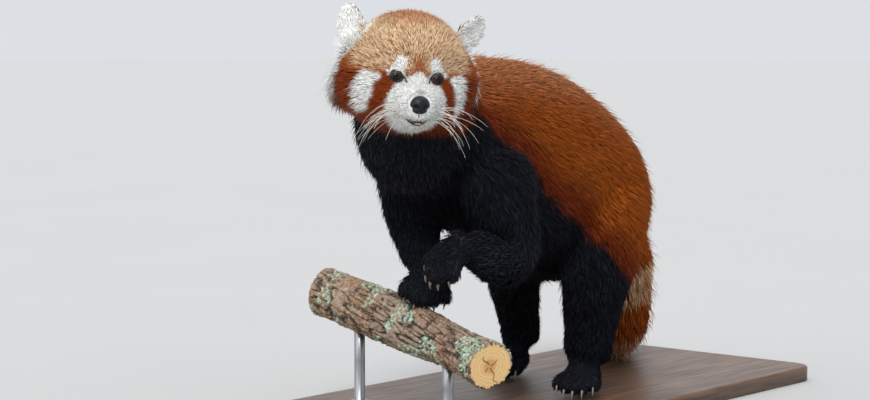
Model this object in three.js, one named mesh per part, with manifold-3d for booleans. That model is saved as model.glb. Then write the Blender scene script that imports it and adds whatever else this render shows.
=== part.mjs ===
// A life-size red panda in mid step, as a still museum model. Its right forepaw rests on a short cut length
// of branch, its left forepaw is lifted, its hind feet stand on a flat base, and its tail lies on that base.
// Millimetres, +Z up. The animal faces -Y, so its left side is +X.
import * as THREE from "three";
import { mergeVertices } from "three/addons/utils/BufferGeometryUtils.js";
import Module from "manifold-3d";

const wasm = await Module();
wasm.setup();

// Driving sizes. Heights are above the top of the base until the whole group is placed.
const GAP = 0.3;
const BASE = { width: 320, length: 710, thick: 18, corner: 26, centreY: 100 };

// Each station of a body part is [x, y, z, half width, half height].
const TORSO = [
  [0, 260, 194, 36, 42],
  [0, 237, 199, 63, 70],
  [0, 200, 208, 84, 92],
  [0, 156, 223, 94, 108],
  [0, 108, 241, 95, 117],
  [0, 60, 261, 92, 117],
  [0, 10, 280, 86, 108],
  [0, -40, 297, 80, 93],
  [0, -86, 306, 74, 79],
  [0, -124, 308, 63, 68],
  [2, -150, 304, 43, 46],
];
const NECK = [
  [-2, -92, 286, 58, 64],
  [4, -112, 304, 67, 72],
  [16, -136, 326, 66, 69],
  [32, -158, 344, 60, 62],
  [44, -174, 358, 50, 52],
];
const HEAD = { at: [49.3, -185.8, 370], yaw: 53, pitch: -3, roll: 4.3 };
const EYE = { side: 21.2, ahead: 46, up: 1, radius: 8.2, lid: 1.5, wide: 6.4, tall: 5.7 };
const NOSE = { ahead: 76, up: -24.5, wide: 10.4, tall: 9.2, deep: 8.5 };
const MOUTH = { up: -40.5, half: 15.5, gape: 2.3 };
const EAR = {
  side: { left: 53, right: 55 },
  ahead: -6,
  up: 33,
  lean: { left: 40, right: 20 },
  length: { left: 42, right: 39 },
  half: 17,
  thick: 7.5,
};
const TAIL = [
  [0, 220, 208, 22, 22],
  [0, 248, 186, 30, 30],
  [-1, 268, 150, 36, 36],
  [-10, 280, 106, 39, 39],
  [-27, 297, 65, 40, 40],
  [-52, 325, 46, 41, 39],
  [-80, 356, 41, 40, 38],
  [-101, 386, 38, 37, 35.5],
  [-111, 408, 34, 29, 30],
  [-115, 424, 29, 14, 18],
];
const TAIL_PARTS = 4;
const PERCH = { left: [-141, -110, 121], middle: [-2, -112, 90], right: [133, -151, 68], radius: 27 };
const ROD = { radius: 6, sunk: 10, shares: [0.2, 0.72] };

// Each leg: its line from the body to the foot, the share of it where the upper length meets the lower, and a
// foot whose toes point along its heading in degrees left of -Y.
const LEGS = {
  foreleg_right: {
    line: [
      [-30, -50, 300, 34, 46],
      [-44, -58, 270, 44, 50],
      [-48, -62, 236, 38, 43],
      [-46, -63, 208, 32, 35],
      [-37, -67, 186, 27, 30],
      [-24, -76, 166, 23, 25],
      [-13, -84, 151, 21, 22],
    ],
    joint: 0.5,
    foot: {
      wrist: [-9, -88, 149], heading: 40, dip: 30, roll: 0,
      length: 50, width: 62, height: 31, curl: 50,
    },
  },
  foreleg_left: {
    line: [
      [30, -46, 298, 34, 46],
      [54, -52, 262, 43, 50],
      [70, -52, 222, 37, 43],
      [81, -50, 188, 31, 34],
      [85, -66, 168, 29, 29],
      [81, -94, 177, 25, 26],
      [75, -120, 190, 22, 22],
    ],
    joint: 0.55,
    foot: {
      wrist: [74, -124, 192], heading: -26, dip: 45, roll: -34,
      length: 56, width: 52, height: 29, curl: 30,
    },
  },
  hindleg_right: {
    line: [
      [-30, 172, 252, 46, 50],
      [-48, 170, 208, 56, 66],
      [-64, 162, 162, 45, 55],
      [-75, 158, 122, 32, 40],
      [-79, 165, 88, 26, 31],
      [-81, 173, 58, 23, 27],
      [-81, 172, 30, 24, 26],
    ],
    joint: 0.5,
    foot: {
      wrist: [-80, 164, 24], heading: 20, dip: 10, roll: 0,
      length: 76, width: 52, height: 31, curl: 22,
    },
  },
  hindleg_left: {
    line: [
      [30, 148, 248, 46, 50],
      [50, 144, 206, 57, 66],
      [64, 130, 160, 47, 56],
      [68, 120, 122, 37, 45],
      [66, 118, 88, 31, 36],
      [63, 117, 58, 28, 31],
      [62, 116, 30, 27, 29],
    ],
    joint: 0.5,
    foot: {
      wrist: [62, 110, 24], heading: 24, dip: 10, roll: 0,
      length: 64, width: 58, height: 31, curl: 24,
    },
  },
};
const DIGITS = 5;

// How far each part's core lies inside the coat's tips, where locks stand on it.
const INSET = { torso: 4, neck: 3, head: 3, leg: 2.5, tail: 4.5 };

// Locks of the coat: length, width and thickness, how far the tip lifts off the core, and how deep the root is.
const LOCKS = {
  back: { length: 62, width: 36, thick: 6, lift: 4, sunk: 8 },
  belly: { length: 48, width: 26, thick: 6, lift: 9, sunk: 8 },
  neck: { length: 44, width: 25, thick: 4.6, lift: 7, sunk: 8 },
  ruff: { length: 30, width: 17, thick: 3.8, lift: 4.5, sunk: 6 },
  ear: { length: 17, width: 6, thick: 2.2, lift: 2.4, sunk: 2.5 },
  leg: { length: 36, width: 20, thick: 4.4, lift: 6, sunk: 7 },
  tail: { length: 40, width: 28, thick: 7, lift: 8, sunk: 9 },
};
// Rows of locks round a swept part: share of its length, first and last turn in degrees, and how many.
const TORSO_BACK = [
  [0.2, 0, 180, 5],
  [0.34, -25, 205, 6],
  [0.49, -25, 205, 6],
  [0.64, -25, 205, 6],
  [0.8, -20, 200, 5],
];
const TORSO_BELLY = [
  [0.4, 214, 326, 3],
  [0.56, 205, 335, 4],
  [0.72, 214, 326, 3],
  [0.86, 205, 335, 4],
];
const NECK_ROWS = [
  [0.34, 196, 344, 5],
  [0.6, 186, 354, 6],
];
const LEG_ROWS = {
  foreleg_upper: [[0.18, 195, 345, 3], [0.34, 200, 340, 3]],
  foreleg_lower: [[0.6, 200, 340, 3]],
  hindleg_upper: [[0.14, 195, 345, 3], [0.3, 190, 350, 4]],
  hindleg_lower: [[0.54, 195, 345, 3], [0.7, 200, 340, 3]],
};
const TAIL_ROWS = { shares: [0.25, 0.75], count: 4 };
// Rows of locks on each cheek in the head's own axes: how far ahead the row looks, highest and lowest up, and
// how many.
const RUFF_ROWS = [
  [0.42, 0.12, -0.62, 4],
  [0.02, 0.42, -0.72, 5],
  [-0.38, 0.5, -0.6, 4],
];

// Finishes, one for each kind of surface.
const finish = (color, roughness, metalness = 0) =>
  new THREE.MeshStandardMaterial({ color, roughness, metalness });
const rustCoat = finish(0x9a4316, 0.85);
const blackCoat = finish(0x14120f, 0.85);
const headCoat = finish(0xb98752, 0.85);
const earCoat = finish(0xe8e4da, 0.85);
const tailCoat = finish(0xa8622e, 0.85);
const eyeGloss = finish(0x120c08, 0.1);
const noseSkin = finish(0x17181b, 0.4);
const clawHorn = finish(0xd8c6ae, 0.45);
const bark = finish(0x6b5a45, 0.95);
const baseWood = finish(0x4a3324, 0.5);
const rodSteel = finish(0x55585c, 0.35, 0.9);

// A repeatable sequence of numbers from 0 to 1.
function draws(seed) {
  let state = seed;
  return () => {
    state = (state * 1664525 + 1013904223) % 4294967296;
    return state / 4294967296;
  };
}

const vector = (a) => new THREE.Vector3(a[0], a[1], a[2]);

// A closed geometry as a solid.
function solidOf(geometry) {
  const bare = new THREE.BufferGeometry().setAttribute("position", geometry.getAttribute("position"));
  if (geometry.index) bare.setIndex(geometry.index);
  const merged = mergeVertices(bare, 1e-4);
  return new wasm.Manifold(
    new wasm.Mesh({
      numProp: 3,
      vertProperties: new Float32Array(merged.attributes.position.array),
      triVerts: new Uint32Array(merged.index.array),
    }),
  );
}

// The largest closed surface of a solid, without sealed hollows or loose scraps.
function largest(solid) {
  return solid.decompose().reduce((best, one) => (one.volume() > best.volume() ? one : best));
}

const joined = (solids) => wasm.Manifold.union(solids);

// A solid as a named mesh.
function meshOf(name, solid, material) {
  const made = solid.getMesh();
  const positions = new Float32Array(made.numVert * 3);
  for (let i = 0; i < made.numVert; i++) {
    positions.set(made.vertProperties.subarray(i * made.numProp, i * made.numProp + 3), i * 3);
  }
  const geometry = new THREE.BufferGeometry();
  geometry.setAttribute("position", new THREE.BufferAttribute(positions, 3));
  geometry.setIndex(new THREE.BufferAttribute(new Uint32Array(made.triVerts), 1));
  geometry.computeVertexNormals();
  const mesh = new THREE.Mesh(geometry, material);
  mesh.name = name;
  return mesh;
}

// The line of centres and the sizes of a part that is swept through its stations.
function pathOf(stations, up = [0, 0, 1]) {
  const curve = (points) => new THREE.CatmullRomCurve3(points, false, "catmullrom", 0.5);
  return {
    centre: curve(stations.map((s) => vector(s))),
    size: curve(stations.map((s) => new THREE.Vector3(s[3], s[4], 0))),
    up: vector(up),
  };
}

// The share of the full section at t, which closes in a quarter ellipse over each rounded end.
function capShare(t, startCap, endCap) {
  const fromStart = startCap > 0 ? Math.min(1, t / startCap) : 1;
  const fromEnd = endCap > 0 ? Math.min(1, (1 - t) / endCap) : 1;
  const into = Math.min(fromStart, fromEnd);
  return Math.sqrt(Math.max(0, 1 - (1 - into) ** 2));
}

// A point of a swept surface at turn u in radians and share t of its length, with its directions.
function surfaceAt(path, u, t, share = 1, grow = 0) {
  const centre = path.centre.getPoint(t);
  const along = path.centre.getTangent(t).normalize();
  const size = path.size.getPoint(t);
  const side = new THREE.Vector3().crossVectors(along, path.up).normalize();
  const up = new THREE.Vector3().crossVectors(side, along);
  const out = new THREE.Vector3()
    .addScaledVector(side, Math.cos(u) * (size.x * share + grow))
    .addScaledVector(up, Math.sin(u) * (size.y * share + grow));
  const normal = new THREE.Vector3()
    .addScaledVector(side, Math.cos(u) / Math.max(size.x, 1))
    .addScaledVector(up, Math.sin(u) / Math.max(size.y, 1))
    .normalize();
  return { point: centre.clone().add(out), centre, along, normal };
}

// Faces between rings of points, closed at each end by the fan of a pole or of a flat cap's middle.
function ringsToGeometry(rings, first, last) {
  const sides = rings[0].length;
  const positions = [];
  for (const ring of rings) for (const p of ring) positions.push(p.x, p.y, p.z);
  positions.push(first.x, first.y, first.z, last.x, last.y, last.z);
  const firstIndex = rings.length * sides;
  const faces = [];
  for (let j = 0; j < sides; j++) {
    const k = (j + 1) % sides;
    faces.push(firstIndex, j, k);
    for (let i = 0; i + 1 < rings.length; i++) {
      const a = i * sides + j;
      const b = i * sides + k;
      faces.push(a, a + sides, b + sides, a, b + sides, b);
    }
    const end = (rings.length - 1) * sides;
    faces.push(firstIndex + 1, end + k, end + j);
  }
  const geometry = new THREE.BufferGeometry();
  geometry.setAttribute("position", new THREE.BufferAttribute(new Float32Array(positions), 3));
  geometry.setIndex(faces);
  return geometry;
}

// A body part swept through its stations: an elliptic section whose sizes change along a smooth line. from and
// to keep only that share of the line, with flat ends there. inset draws the sides in, for a core under locks.
function sweep(stations, options = {}) {
  const { steps = 10, sides = 14, capRings = 3, up, from = 0, to = 1, grow = 0, inset = 0 } = options;
  let { startCap = 0.16, endCap = 0.16 } = options;
  const path = pathOf(stations, up);
  const shares = [];
  if (from > 0) startCap = 0;
  if (to < 1) endCap = 0;
  for (let k = 1; k < capRings && startCap > 0; k++) {
    shares.push(startCap * (1 - Math.cos((Math.PI / 2) * (k / capRings))));
  }
  const low = from + startCap;
  const high = to - endCap;
  for (let k = 0; k <= steps; k++) shares.push(low + ((high - low) * k) / steps);
  for (let k = capRings - 1; k > 0 && endCap > 0; k--) {
    shares.push(1 - endCap * (1 - Math.cos((Math.PI / 2) * (k / capRings))));
  }
  const rings = shares.map((t) => {
    const share = capShare(t, startCap, endCap);
    const at = (j) => surfaceAt(path, (2 * Math.PI * j) / sides, t, share, grow - inset).point;
    return Array.from({ length: sides }, (_, j) => at(j));
  });
  const start = surfaceAt(path, 0, from);
  const finishPoint = surfaceAt(path, 0, to);
  const first = start.centre.clone().addScaledVector(start.along, -grow);
  const last = finishPoint.centre.clone().addScaledVector(finishPoint.along, grow);
  if (startCap === 0) rings[0].forEach((p) => p.addScaledVector(start.along, -grow));
  if (endCap === 0) rings[rings.length - 1].forEach((p) => p.addScaledVector(finishPoint.along, grow));
  return solidOf(ringsToGeometry(rings, first, last));
}

// The head's own axes in the part's frame: side is the animal's left, ahead is out of its face, top its crown.
function headAxes() {
  const turn = new THREE.Matrix4().makeRotationZ(THREE.MathUtils.degToRad(HEAD.yaw));
  turn.multiply(new THREE.Matrix4().makeRotationX(THREE.MathUtils.degToRad(-HEAD.pitch)));
  turn.multiply(new THREE.Matrix4().makeRotationY(THREE.MathUtils.degToRad(HEAD.roll)));
  const level = [vector([1, 0, 0]), vector([0, -1, 0]), vector([0, 0, 1])];
  turn.multiply(new THREE.Matrix4().makeBasis(...level));
  turn.setPosition(...HEAD.at);
  return turn;
}
const headFrame = headAxes();
const onHead = (side, ahead, up) => new THREE.Vector3(side, ahead, up).applyMatrix4(headFrame);
const headDirection = (side, ahead, up) =>
  new THREE.Vector3(side, ahead, up).transformDirection(headFrame);

// The head is a soft union of these: [side, ahead, up, half sizes the same way], mirrored if side isn't 0.
const HEAD_FORMS = [
  [0, -8, 15.5, 59, 54, 53],
  [0, 16, 25, 47, 35, 37],
  [38, 2, -10, 38, 41, 40],
  [22, 24, -20, 28, 28, 26],
  [0, 42, -22, 24, 28, 17],
  [0, 54, -26, 17, 20, 13],
  [0, 38, -40, 17, 22, 12],
  [0, 4, -34, 42, 38, 27],
];
const HEAD_SOFT = 5.5;

// How far outside the head a point of its own axes is, negative inside: a soft least of the forms' distances.
function headField(p) {
  let sum = 0;
  for (const [side, ahead, up, a, b, c] of HEAD_FORMS) {
    for (const hand of side === 0 ? [0] : [-1, 1]) {
      const x = (p.x - hand * side) / a;
      const y = (p.y - ahead) / b;
      const z = (p.z - up) / c;
      const reach = Math.sqrt(x * x + y * y + z * z);
      const slope = Math.sqrt((x / a) ** 2 + (y / b) ** 2 + (z / c) ** 2) || 1;
      sum += Math.exp((-(reach - 1) * reach) / slope / HEAD_SOFT);
    }
  }
  return -HEAD_SOFT * Math.log(sum);
}

// A point on the head's surface in a direction of its own axes.
function headReach(direction, from = new THREE.Vector3()) {
  let low = 0;
  let high = 120;
  for (let k = 0; k < 26; k++) {
    const middle = (low + high) / 2;
    if (headField(from.clone().addScaledVector(direction, middle)) < 0) low = middle;
    else high = middle;
  }
  return low;
}

// The head's surface as rings round its own line from nape to nose, so that the muzzle gets small faces.
function headShell(grow) {
  const rows = 19;
  const sides = 24;
  const rings = [];
  const middle = new THREE.Vector3(0, 6, -8);
  const at = (direction) => {
    const r = headReach(direction, middle) + grow;
    const p = middle.clone().addScaledVector(direction, r);
    return onHead(p.x, p.y, p.z);
  };
  for (let i = 1; i < rows; i++) {
    const tilt = Math.PI * (1 - (i / rows) ** 1.25);
    const ring = [];
    for (let j = 0; j < sides; j++) {
      const turn = (-2 * Math.PI * j) / sides;
      const wide = Math.sin(tilt);
      ring.push(at(new THREE.Vector3(wide * Math.cos(turn), Math.cos(tilt), wide * Math.sin(turn))));
    }
    rings.push(ring);
  }
  return solidOf(ringsToGeometry(rings, at(new THREE.Vector3(0, -1, 0)), at(new THREE.Vector3(0, 1, 0))));
}

// An ellipsoid with its half sizes along given axes.
function ellipsoid(centre, xAxis, yAxis, zAxis, sizes, wide = 16, high = 10) {
  const geometry = new THREE.SphereGeometry(1, wide, high);
  const basis = new THREE.Matrix4().makeBasis(
    xAxis.clone().multiplyScalar(sizes[0]),
    yAxis.clone().multiplyScalar(sizes[1]),
    zAxis.clone().multiplyScalar(sizes[2]),
  );
  basis.setPosition(centre);
  geometry.applyMatrix4(basis);
  return solidOf(geometry);
}

const sideAxis = headDirection(1, 0, 0);
const aheadAxis = headDirection(0, 1, 0);
const topAxis = headDirection(0, 0, 1);

const eyeCentre = (hand) => onHead(hand * EYE.side, EYE.ahead - 5, EYE.up);
const eyeBall = (hand, grow = 0) => {
  const sizes = Array(3).fill(EYE.radius + grow);
  return ellipsoid(eyeCentre(hand), sideAxis, topAxis, sideAxis.clone().cross(topAxis), sizes, 12, 8);
};

// The opening between the lids: an almond prism that runs out from the middle of the eye.
function lidOpening(hand) {
  const outline = new THREE.Shape();
  const points = 12;
  for (let k = 0; k < points; k++) {
    const turn = (2 * Math.PI * k) / points;
    const x = EYE.wide * Math.cos(turn);
    const y = EYE.tall * Math.sin(turn) * (1 - 0.12 * Math.cos(turn) * hand);
    if (k === 0) outline.moveTo(x, y);
    else outline.lineTo(x, y);
  }
  const prism = new THREE.ExtrudeGeometry(outline, { depth: 30, bevelEnabled: false });
  const gaze = headDirection(hand * 0.3, 1, 0.04);
  const across = new THREE.Vector3().crossVectors(topAxis, gaze).normalize();
  const rise = new THREE.Vector3().crossVectors(gaze, across);
  const basis = new THREE.Matrix4().makeBasis(across, rise, gaze);
  basis.setPosition(eyeCentre(hand));
  prism.applyMatrix4(basis);
  return solidOf(prism);
}

// The mouth: a shallow gap that follows the muzzle, widest at the front, with its corners turned up and back.
const LIP_SWEEP = { sides: 6, capRings: 2, up: topAxis.toArray() };
function mouthLine() {
  const stations = [];
  for (let k = -4; k <= 4; k++) {
    const s = k / 4;
    const side = MOUTH.half * s;
    const ahead = 66 - 22 * s * s;
    const up = MOUTH.up + 4.5 * s * s;
    const open = MOUTH.gape * (1 - 0.62 * Math.abs(s));
    const p = onHead(side, ahead, up);
    stations.push([p.x, p.y, p.z, 9 - 3 * Math.abs(s), open]);
  }
  return sweep(stations, { ...LIP_SWEEP, steps: 8, startCap: 0.12, endCap: 0.12 });
}

// The lower lip: a soft roll under the mouth's gap.
function lowerLip() {
  const stations = [];
  for (let k = -3; k <= 3; k++) {
    const s = k / 3;
    const p = onHead(12.5 * s, 58.5 - 13 * s * s, MOUTH.up - 4.2 + 3 * s * s);
    stations.push([p.x, p.y, p.z, 3.4, 2.4]);
  }
  return sweep(stations, { ...LIP_SWEEP, steps: 6, startCap: 0.14, endCap: 0.14 });
}

function nosePad(grow = 0) {
  const pad = ellipsoid(
    onHead(0, NOSE.ahead - NOSE.deep, NOSE.up),
    sideAxis, topAxis, sideAxis.clone().cross(topAxis),
    [NOSE.wide + grow, NOSE.tall + grow, NOSE.deep + grow], 12, 8,
  );
  return pad;
}

function nostril(hand) {
  const along = headDirection(hand * 0.8, 0.5, -0.25);
  const across = new THREE.Vector3().crossVectors(along, topAxis).normalize();
  return ellipsoid(
    onHead(hand * 4.9, NOSE.ahead - 1.2, NOSE.up - 1.4),
    along, new THREE.Vector3().crossVectors(across, along), across, [3.3, 2.0, 2.4], 8, 5,
  );
}

// A point on an ear's middle line, from its root at share 0 to its tip at 1.
function earPoint(hand, share) {
  const which = hand > 0 ? "left" : "right";
  const lean = THREE.MathUtils.degToRad(EAR.lean[which]);
  const length = EAR.length[which] * share;
  const side = hand * (EAR.side[which] + Math.sin(lean) * length);
  return onHead(side, EAR.ahead - 3 * share, EAR.up + Math.cos(lean) * length);
}

// One ear: a leaf that leans out from the head, with its cup cut into the front.
function earForm(hand, grow = 0) {
  const widths = [1, 1.02, 0.97, 0.82, 0.56, 0.26];
  const shares = [-0.3, 0, 0.3, 0.6, 0.85, 1];
  const turn = headDirection(hand * 0.52, 0.85, 0.05);
  const outer = shares.map((s, k) => {
    const p = earPoint(hand, s);
    return [p.x, p.y, p.z, EAR.half * widths[k], EAR.thick * (0.5 + 0.5 * widths[k])];
  });
  const options = { steps: 6, sides: 10, capRings: 2, startCap: 0.1, endCap: 0.14, up: turn.toArray() };
  const body = sweep(outer, { ...options, grow });
  if (grow > 0) return body;
  const cup = shares.slice(1, 5).map((s, k) => {
    const p = earPoint(hand, s * 0.96 + 0.02).addScaledVector(turn, EAR.thick * 1.05);
    return [p.x, p.y, p.z, EAR.half * widths[k + 1] * 0.72, EAR.thick * 0.98];
  });
  return body.subtract(sweep(cup, { ...options, startCap: 0.2, endCap: 0.24 }));
}

// The axes of a foot: ahead runs from the wrist to the toes, dipping from the level, across is to the left.
function footAxes({ heading, dip, roll }) {
  const h = THREE.MathUtils.degToRad(heading);
  const d = THREE.MathUtils.degToRad(dip);
  const ahead = new THREE.Vector3(Math.sin(h) * Math.cos(d), -Math.cos(h) * Math.cos(d), -Math.sin(d));
  const level = new THREE.Vector3(Math.cos(h), Math.sin(h), 0);
  const across = level.applyAxisAngle(ahead, THREE.MathUtils.degToRad(roll));
  return { ahead, across, top: new THREE.Vector3().crossVectors(across, ahead).negate() };
}

// Where a digit's knuckle, joint and tip are, for a digit from -2 to 2 across the foot.
function digitLine(foot, k) {
  const { ahead, across, top } = footAxes(foot);
  const wrist = vector(foot.wrist);
  const curl = THREE.MathUtils.degToRad(foot.curl);
  const fan = (k / 2) * foot.width * 0.36;
  const reach = foot.length * (1 - 0.055 * k * k);
  const out = (forward, spread) =>
    wrist.clone().addScaledVector(ahead, reach * forward).addScaledVector(across, fan * spread);
  const knuckle = out(0.52, 0.8);
  const bend = out(0.8, 1).addScaledVector(top, -1);
  const pointing = ahead.clone().multiplyScalar(Math.cos(curl)).addScaledVector(top, -Math.sin(curl));
  const tip = bend.clone().addScaledVector(pointing, reach * 0.2);
  return { knuckle, bend, tip, pointing, top, across };
}

// A foot: a broad palm with five furred digits. Each station's sizes are shares of its width and height.
const PALM = [
  { share: -0.24, wide: 0.3, tall: 0.42 },
  { share: -0.02, wide: 0.37, tall: 0.5 },
  { share: 0.24, wide: 0.43, tall: 0.5 },
  { share: 0.5, wide: 0.47, tall: 0.46 },
  { share: 0.74, wide: 0.44, tall: 0.36 },
];
const DIGIT_SIZES = [[1, 1.1], [1.04, 1.12], [0.84, 0.86]];
function footForm(foot, grow = 0) {
  const { ahead, top } = footAxes(foot);
  const wrist = vector(foot.wrist);
  const shared = { capRings: 2, up: top.toArray(), grow };
  const palm = PALM.map(({ share, wide, tall }) => {
    const p = wrist.clone().addScaledVector(ahead, foot.length * share).addScaledVector(top, -1);
    return [p.x, p.y, p.z, foot.width * wide, foot.height * tall];
  });
  const pieces = [sweep(palm, { ...shared, steps: 3, sides: 10, startCap: 0.2, endCap: 0.24 })];
  for (let k = -2; k <= 2; k++) {
    const { knuckle, bend, tip } = digitLine(foot, k);
    const half = foot.width * 0.118;
    const stations = [knuckle, bend, tip].map((p, i) => {
      const [wide, tall] = DIGIT_SIZES[i];
      return [p.x, p.y, p.z, half * wide, half * tall];
    });
    pieces.push(sweep(stations, { ...shared, steps: 2, sides: 6, startCap: 0, endCap: 0.3 }));
  }
  return joined(pieces);
}

// A claw: a cone that curves down from the end of its digit.
function clawForm(foot, k) {
  const { tip, pointing, top } = digitLine(foot, k);
  const length = 10;
  const stations = [0, 0.35, 0.7, 1].map((s) => {
    const p = tip.clone()
      .addScaledVector(pointing, foot.width * 0.03 + length * s)
      .addScaledVector(top, 2.6 - 5.2 * s * s);
    const half = 2.5 * (1 - s) + 0.45;
    return [p.x, p.y, p.z, half * 0.78, half * 1.15];
  });
  const ends = { startCap: 0.05, endCap: 0.02 };
  return sweep(stations, { ...ends, steps: 2, sides: 5, capRings: 1, up: top.toArray() });
}

// The branch under the forepaws, with furrowed bark and both ends sawn.
function branchForm(grow = 0) {
  const ends = vector(PERCH.left).lerp(vector(PERCH.right), 0.5);
  const bend = vector(PERCH.middle).multiplyScalar(2).sub(ends);
  const curve = new THREE.QuadraticBezierCurve3(vector(PERCH.left), bend, vector(PERCH.right));
  const steps = 10;
  const sides = 14;
  const rings = [];
  for (let i = 0; i <= steps; i++) {
    const t = i / steps;
    const along = curve.getTangent(t);
    const side = new THREE.Vector3().crossVectors(along, new THREE.Vector3(0, 0, 1)).normalize();
    const up = new THREE.Vector3().crossVectors(side, along);
    const ring = [];
    for (let j = 0; j < sides; j++) {
      const u = (2 * Math.PI * j) / sides;
      const furrow = 1.0 * Math.sin(5 * u + 4.2 * t) + 0.8 * Math.sin(9 * u - 7 * t + 1.3);
      const swell = 2.2 * Math.sin(5.1 * t + 0.6) + 1.2 * Math.sin(2 * u + 9 * t);
      const r = PERCH.radius + furrow + swell + grow;
      const spoke = side.clone().multiplyScalar(r * Math.cos(u)).addScaledVector(up, r * Math.sin(u));
      ring.push(curve.getPoint(t).add(spoke));
    }
    rings.push(ring);
  }
  return solidOf(ringsToGeometry(rings, curve.getPoint(0), curve.getPoint(1)));
}

const branchPoint = (share) => {
  const left = vector(PERCH.left).lerp(vector(PERCH.middle), share * 2);
  const right = vector(PERCH.middle).lerp(vector(PERCH.right), share * 2 - 1);
  return share < 0.5 ? left : right;
};

// A rod that stands in the base and reaches a little way up into the branch.
function rodForm(share, grow = 0) {
  const p = branchPoint(share);
  const foot = -ROD.sunk - grow;
  const head = p.z - PERCH.radius + ROD.sunk + 4 + grow;
  const rod = new THREE.CylinderGeometry(ROD.radius + grow, ROD.radius + grow, head - foot, 14);
  rod.rotateX(Math.PI / 2);
  rod.translate(p.x, p.y, (head + foot) / 2);
  return solidOf(rod);
}

function baseForm() {
  const x = BASE.width / 2;
  const y = BASE.length / 2;
  const r = BASE.corner;
  const outline = new THREE.Shape();
  outline.moveTo(-x + r, -y);
  outline.lineTo(x - r, -y);
  outline.absarc(x - r, -y + r, r, -Math.PI / 2, 0);
  outline.lineTo(x, y - r);
  outline.absarc(x - r, y - r, r, 0, Math.PI / 2);
  outline.lineTo(-x + r, y);
  outline.absarc(-x + r, y - r, r, Math.PI / 2, Math.PI);
  outline.lineTo(-x, -y + r);
  outline.absarc(-x + r, -y + r, r, Math.PI, Math.PI * 1.5);
  const upward = { depth: BASE.thick, bevelEnabled: false, curveSegments: 3 };
  const plate = new THREE.ExtrudeGeometry(outline, upward);
  plate.translate(0, BASE.centreY, -BASE.thick);
  return solidOf(plate);
}

// Everything below the top of the base, which the feet and the tail are cut clear of.
function underBase() {
  const block = new THREE.BoxGeometry(2000, 2000, 400);
  block.translate(0, 0, -200 + GAP);
  return solidOf(block);
}

const LEG_UP = [0, -1, 0.2];
const TAIL_UP = [1, 0, 0.001];
const UP = [0, 0, 1];

const torsoCore = (grow) =>
  sweep(TORSO, { steps: 16, sides: 20, startCap: 0.07, endCap: 0.07, grow, inset: INSET.torso });
const neckCore = (grow) => sweep(NECK, { steps: 4, sides: 16, capRings: 2, grow, inset: INSET.neck });
// A leg's upper length ends flat at its joint where the lower one goes on in line.
const LEG_SWEEP = { steps: 4, sides: 12, up: LEG_UP, capRings: 2, inset: INSET.leg };
const upperLeg = (leg, grow) => sweep(leg.line, { ...LEG_SWEEP, startCap: 0.1, to: leg.joint, grow });
const lowerLeg = (leg, grow) =>
  sweep(leg.line, { ...LEG_SWEEP, endCap: 0.05, from: leg.joint + 0.001, grow });
const TAIL_SWEEP = { steps: 3, sides: 12, startCap: 0.06, endCap: 0.06, up: TAIL_UP, inset: INSET.tail };
const tailCore = (k, grow) => {
  const from = k / TAIL_PARTS + (k > 0 ? 0.0006 : 0);
  const to = (k + 1) / TAIL_PARTS;
  return sweep(TAIL, { ...TAIL_SWEEP, from, to, grow });
};

// A flat lock of hair along a line of stations, each with its place and the way out of the coat there. Its
// root starts under the surface, it rises through it, and it lies over along the line to its tip.
function lockForm(lineAt, size, grow) {
  const step = 0.02;
  const placed = [0, 0.4, 0.75, 1].map((s) => {
    const { point, out } = lineAt(s);
    const along = lineAt(s + step).point.sub(lineAt(s - step).point).normalize();
    const side = new THREE.Vector3().crossVectors(along, out).normalize();
    const height = -size.sunk + (size.sunk + size.lift) * (1 - (1 - s) ** 2);
    const centre = point.addScaledVector(out, height).addScaledVector(side, size.sway * s * s);
    return { centre, out, along, side };
  });
  const rings = placed.slice(0, 3).map(({ centre, out, side }, k) => {
    const wide = (size.width / 2) * [0.75, 1, 0.64][k] + grow;
    const thick = size.thick * [0.9, 1, 0.8][k];
    const under = -0.4 * thick - grow;
    const corners = [[wide, under], [0, 0.6 * thick + grow], [-wide, under]];
    return corners.map(([a, b]) => centre.clone().addScaledVector(side, a).addScaledVector(out, b));
  });
  const root = placed[0].centre.clone().addScaledVector(placed[0].along, -grow);
  const tip = placed[3].centre.clone().addScaledVector(placed[3].along, grow);
  return solidOf(ringsToGeometry(rings, root, tip));
}

// Locks along a list of lines, each a little different from the next.
function locksAlong(lines, size, seed, grow) {
  const draw = draws(seed);
  return lines.map((line) => {
    const length = size.length * (0.85 + 0.3 * draw());
    const width = size.width * (0.88 + 0.24 * draw());
    const sway = length * 0.22 * (draw() - 0.5);
    return lockForm((s) => line(s * length), { ...size, width, sway }, grow);
  });
}

// A point on a swept part's core and the way out there, from the slopes of the surface itself.
function coreAt(path, turn, share, caps, inset) {
  const at = (u, t) => {
    const kept = Math.min(Math.max(t, 0.004), 0.996);
    return surfaceAt(path, u, kept, capShare(kept, ...caps), -inset).point;
  };
  const point = at(turn, share);
  const round = at(turn + 0.05, share).sub(at(turn - 0.05, share));
  const along = at(turn, share + 0.01).sub(at(turn, share - 0.01));
  const out = new THREE.Vector3().crossVectors(along, round).normalize();
  const centre = path.centre.getPoint(Math.min(Math.max(share, 0), 1));
  if (out.dot(point.clone().sub(centre)) < 0) out.negate();
  return { point, out };
}

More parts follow.
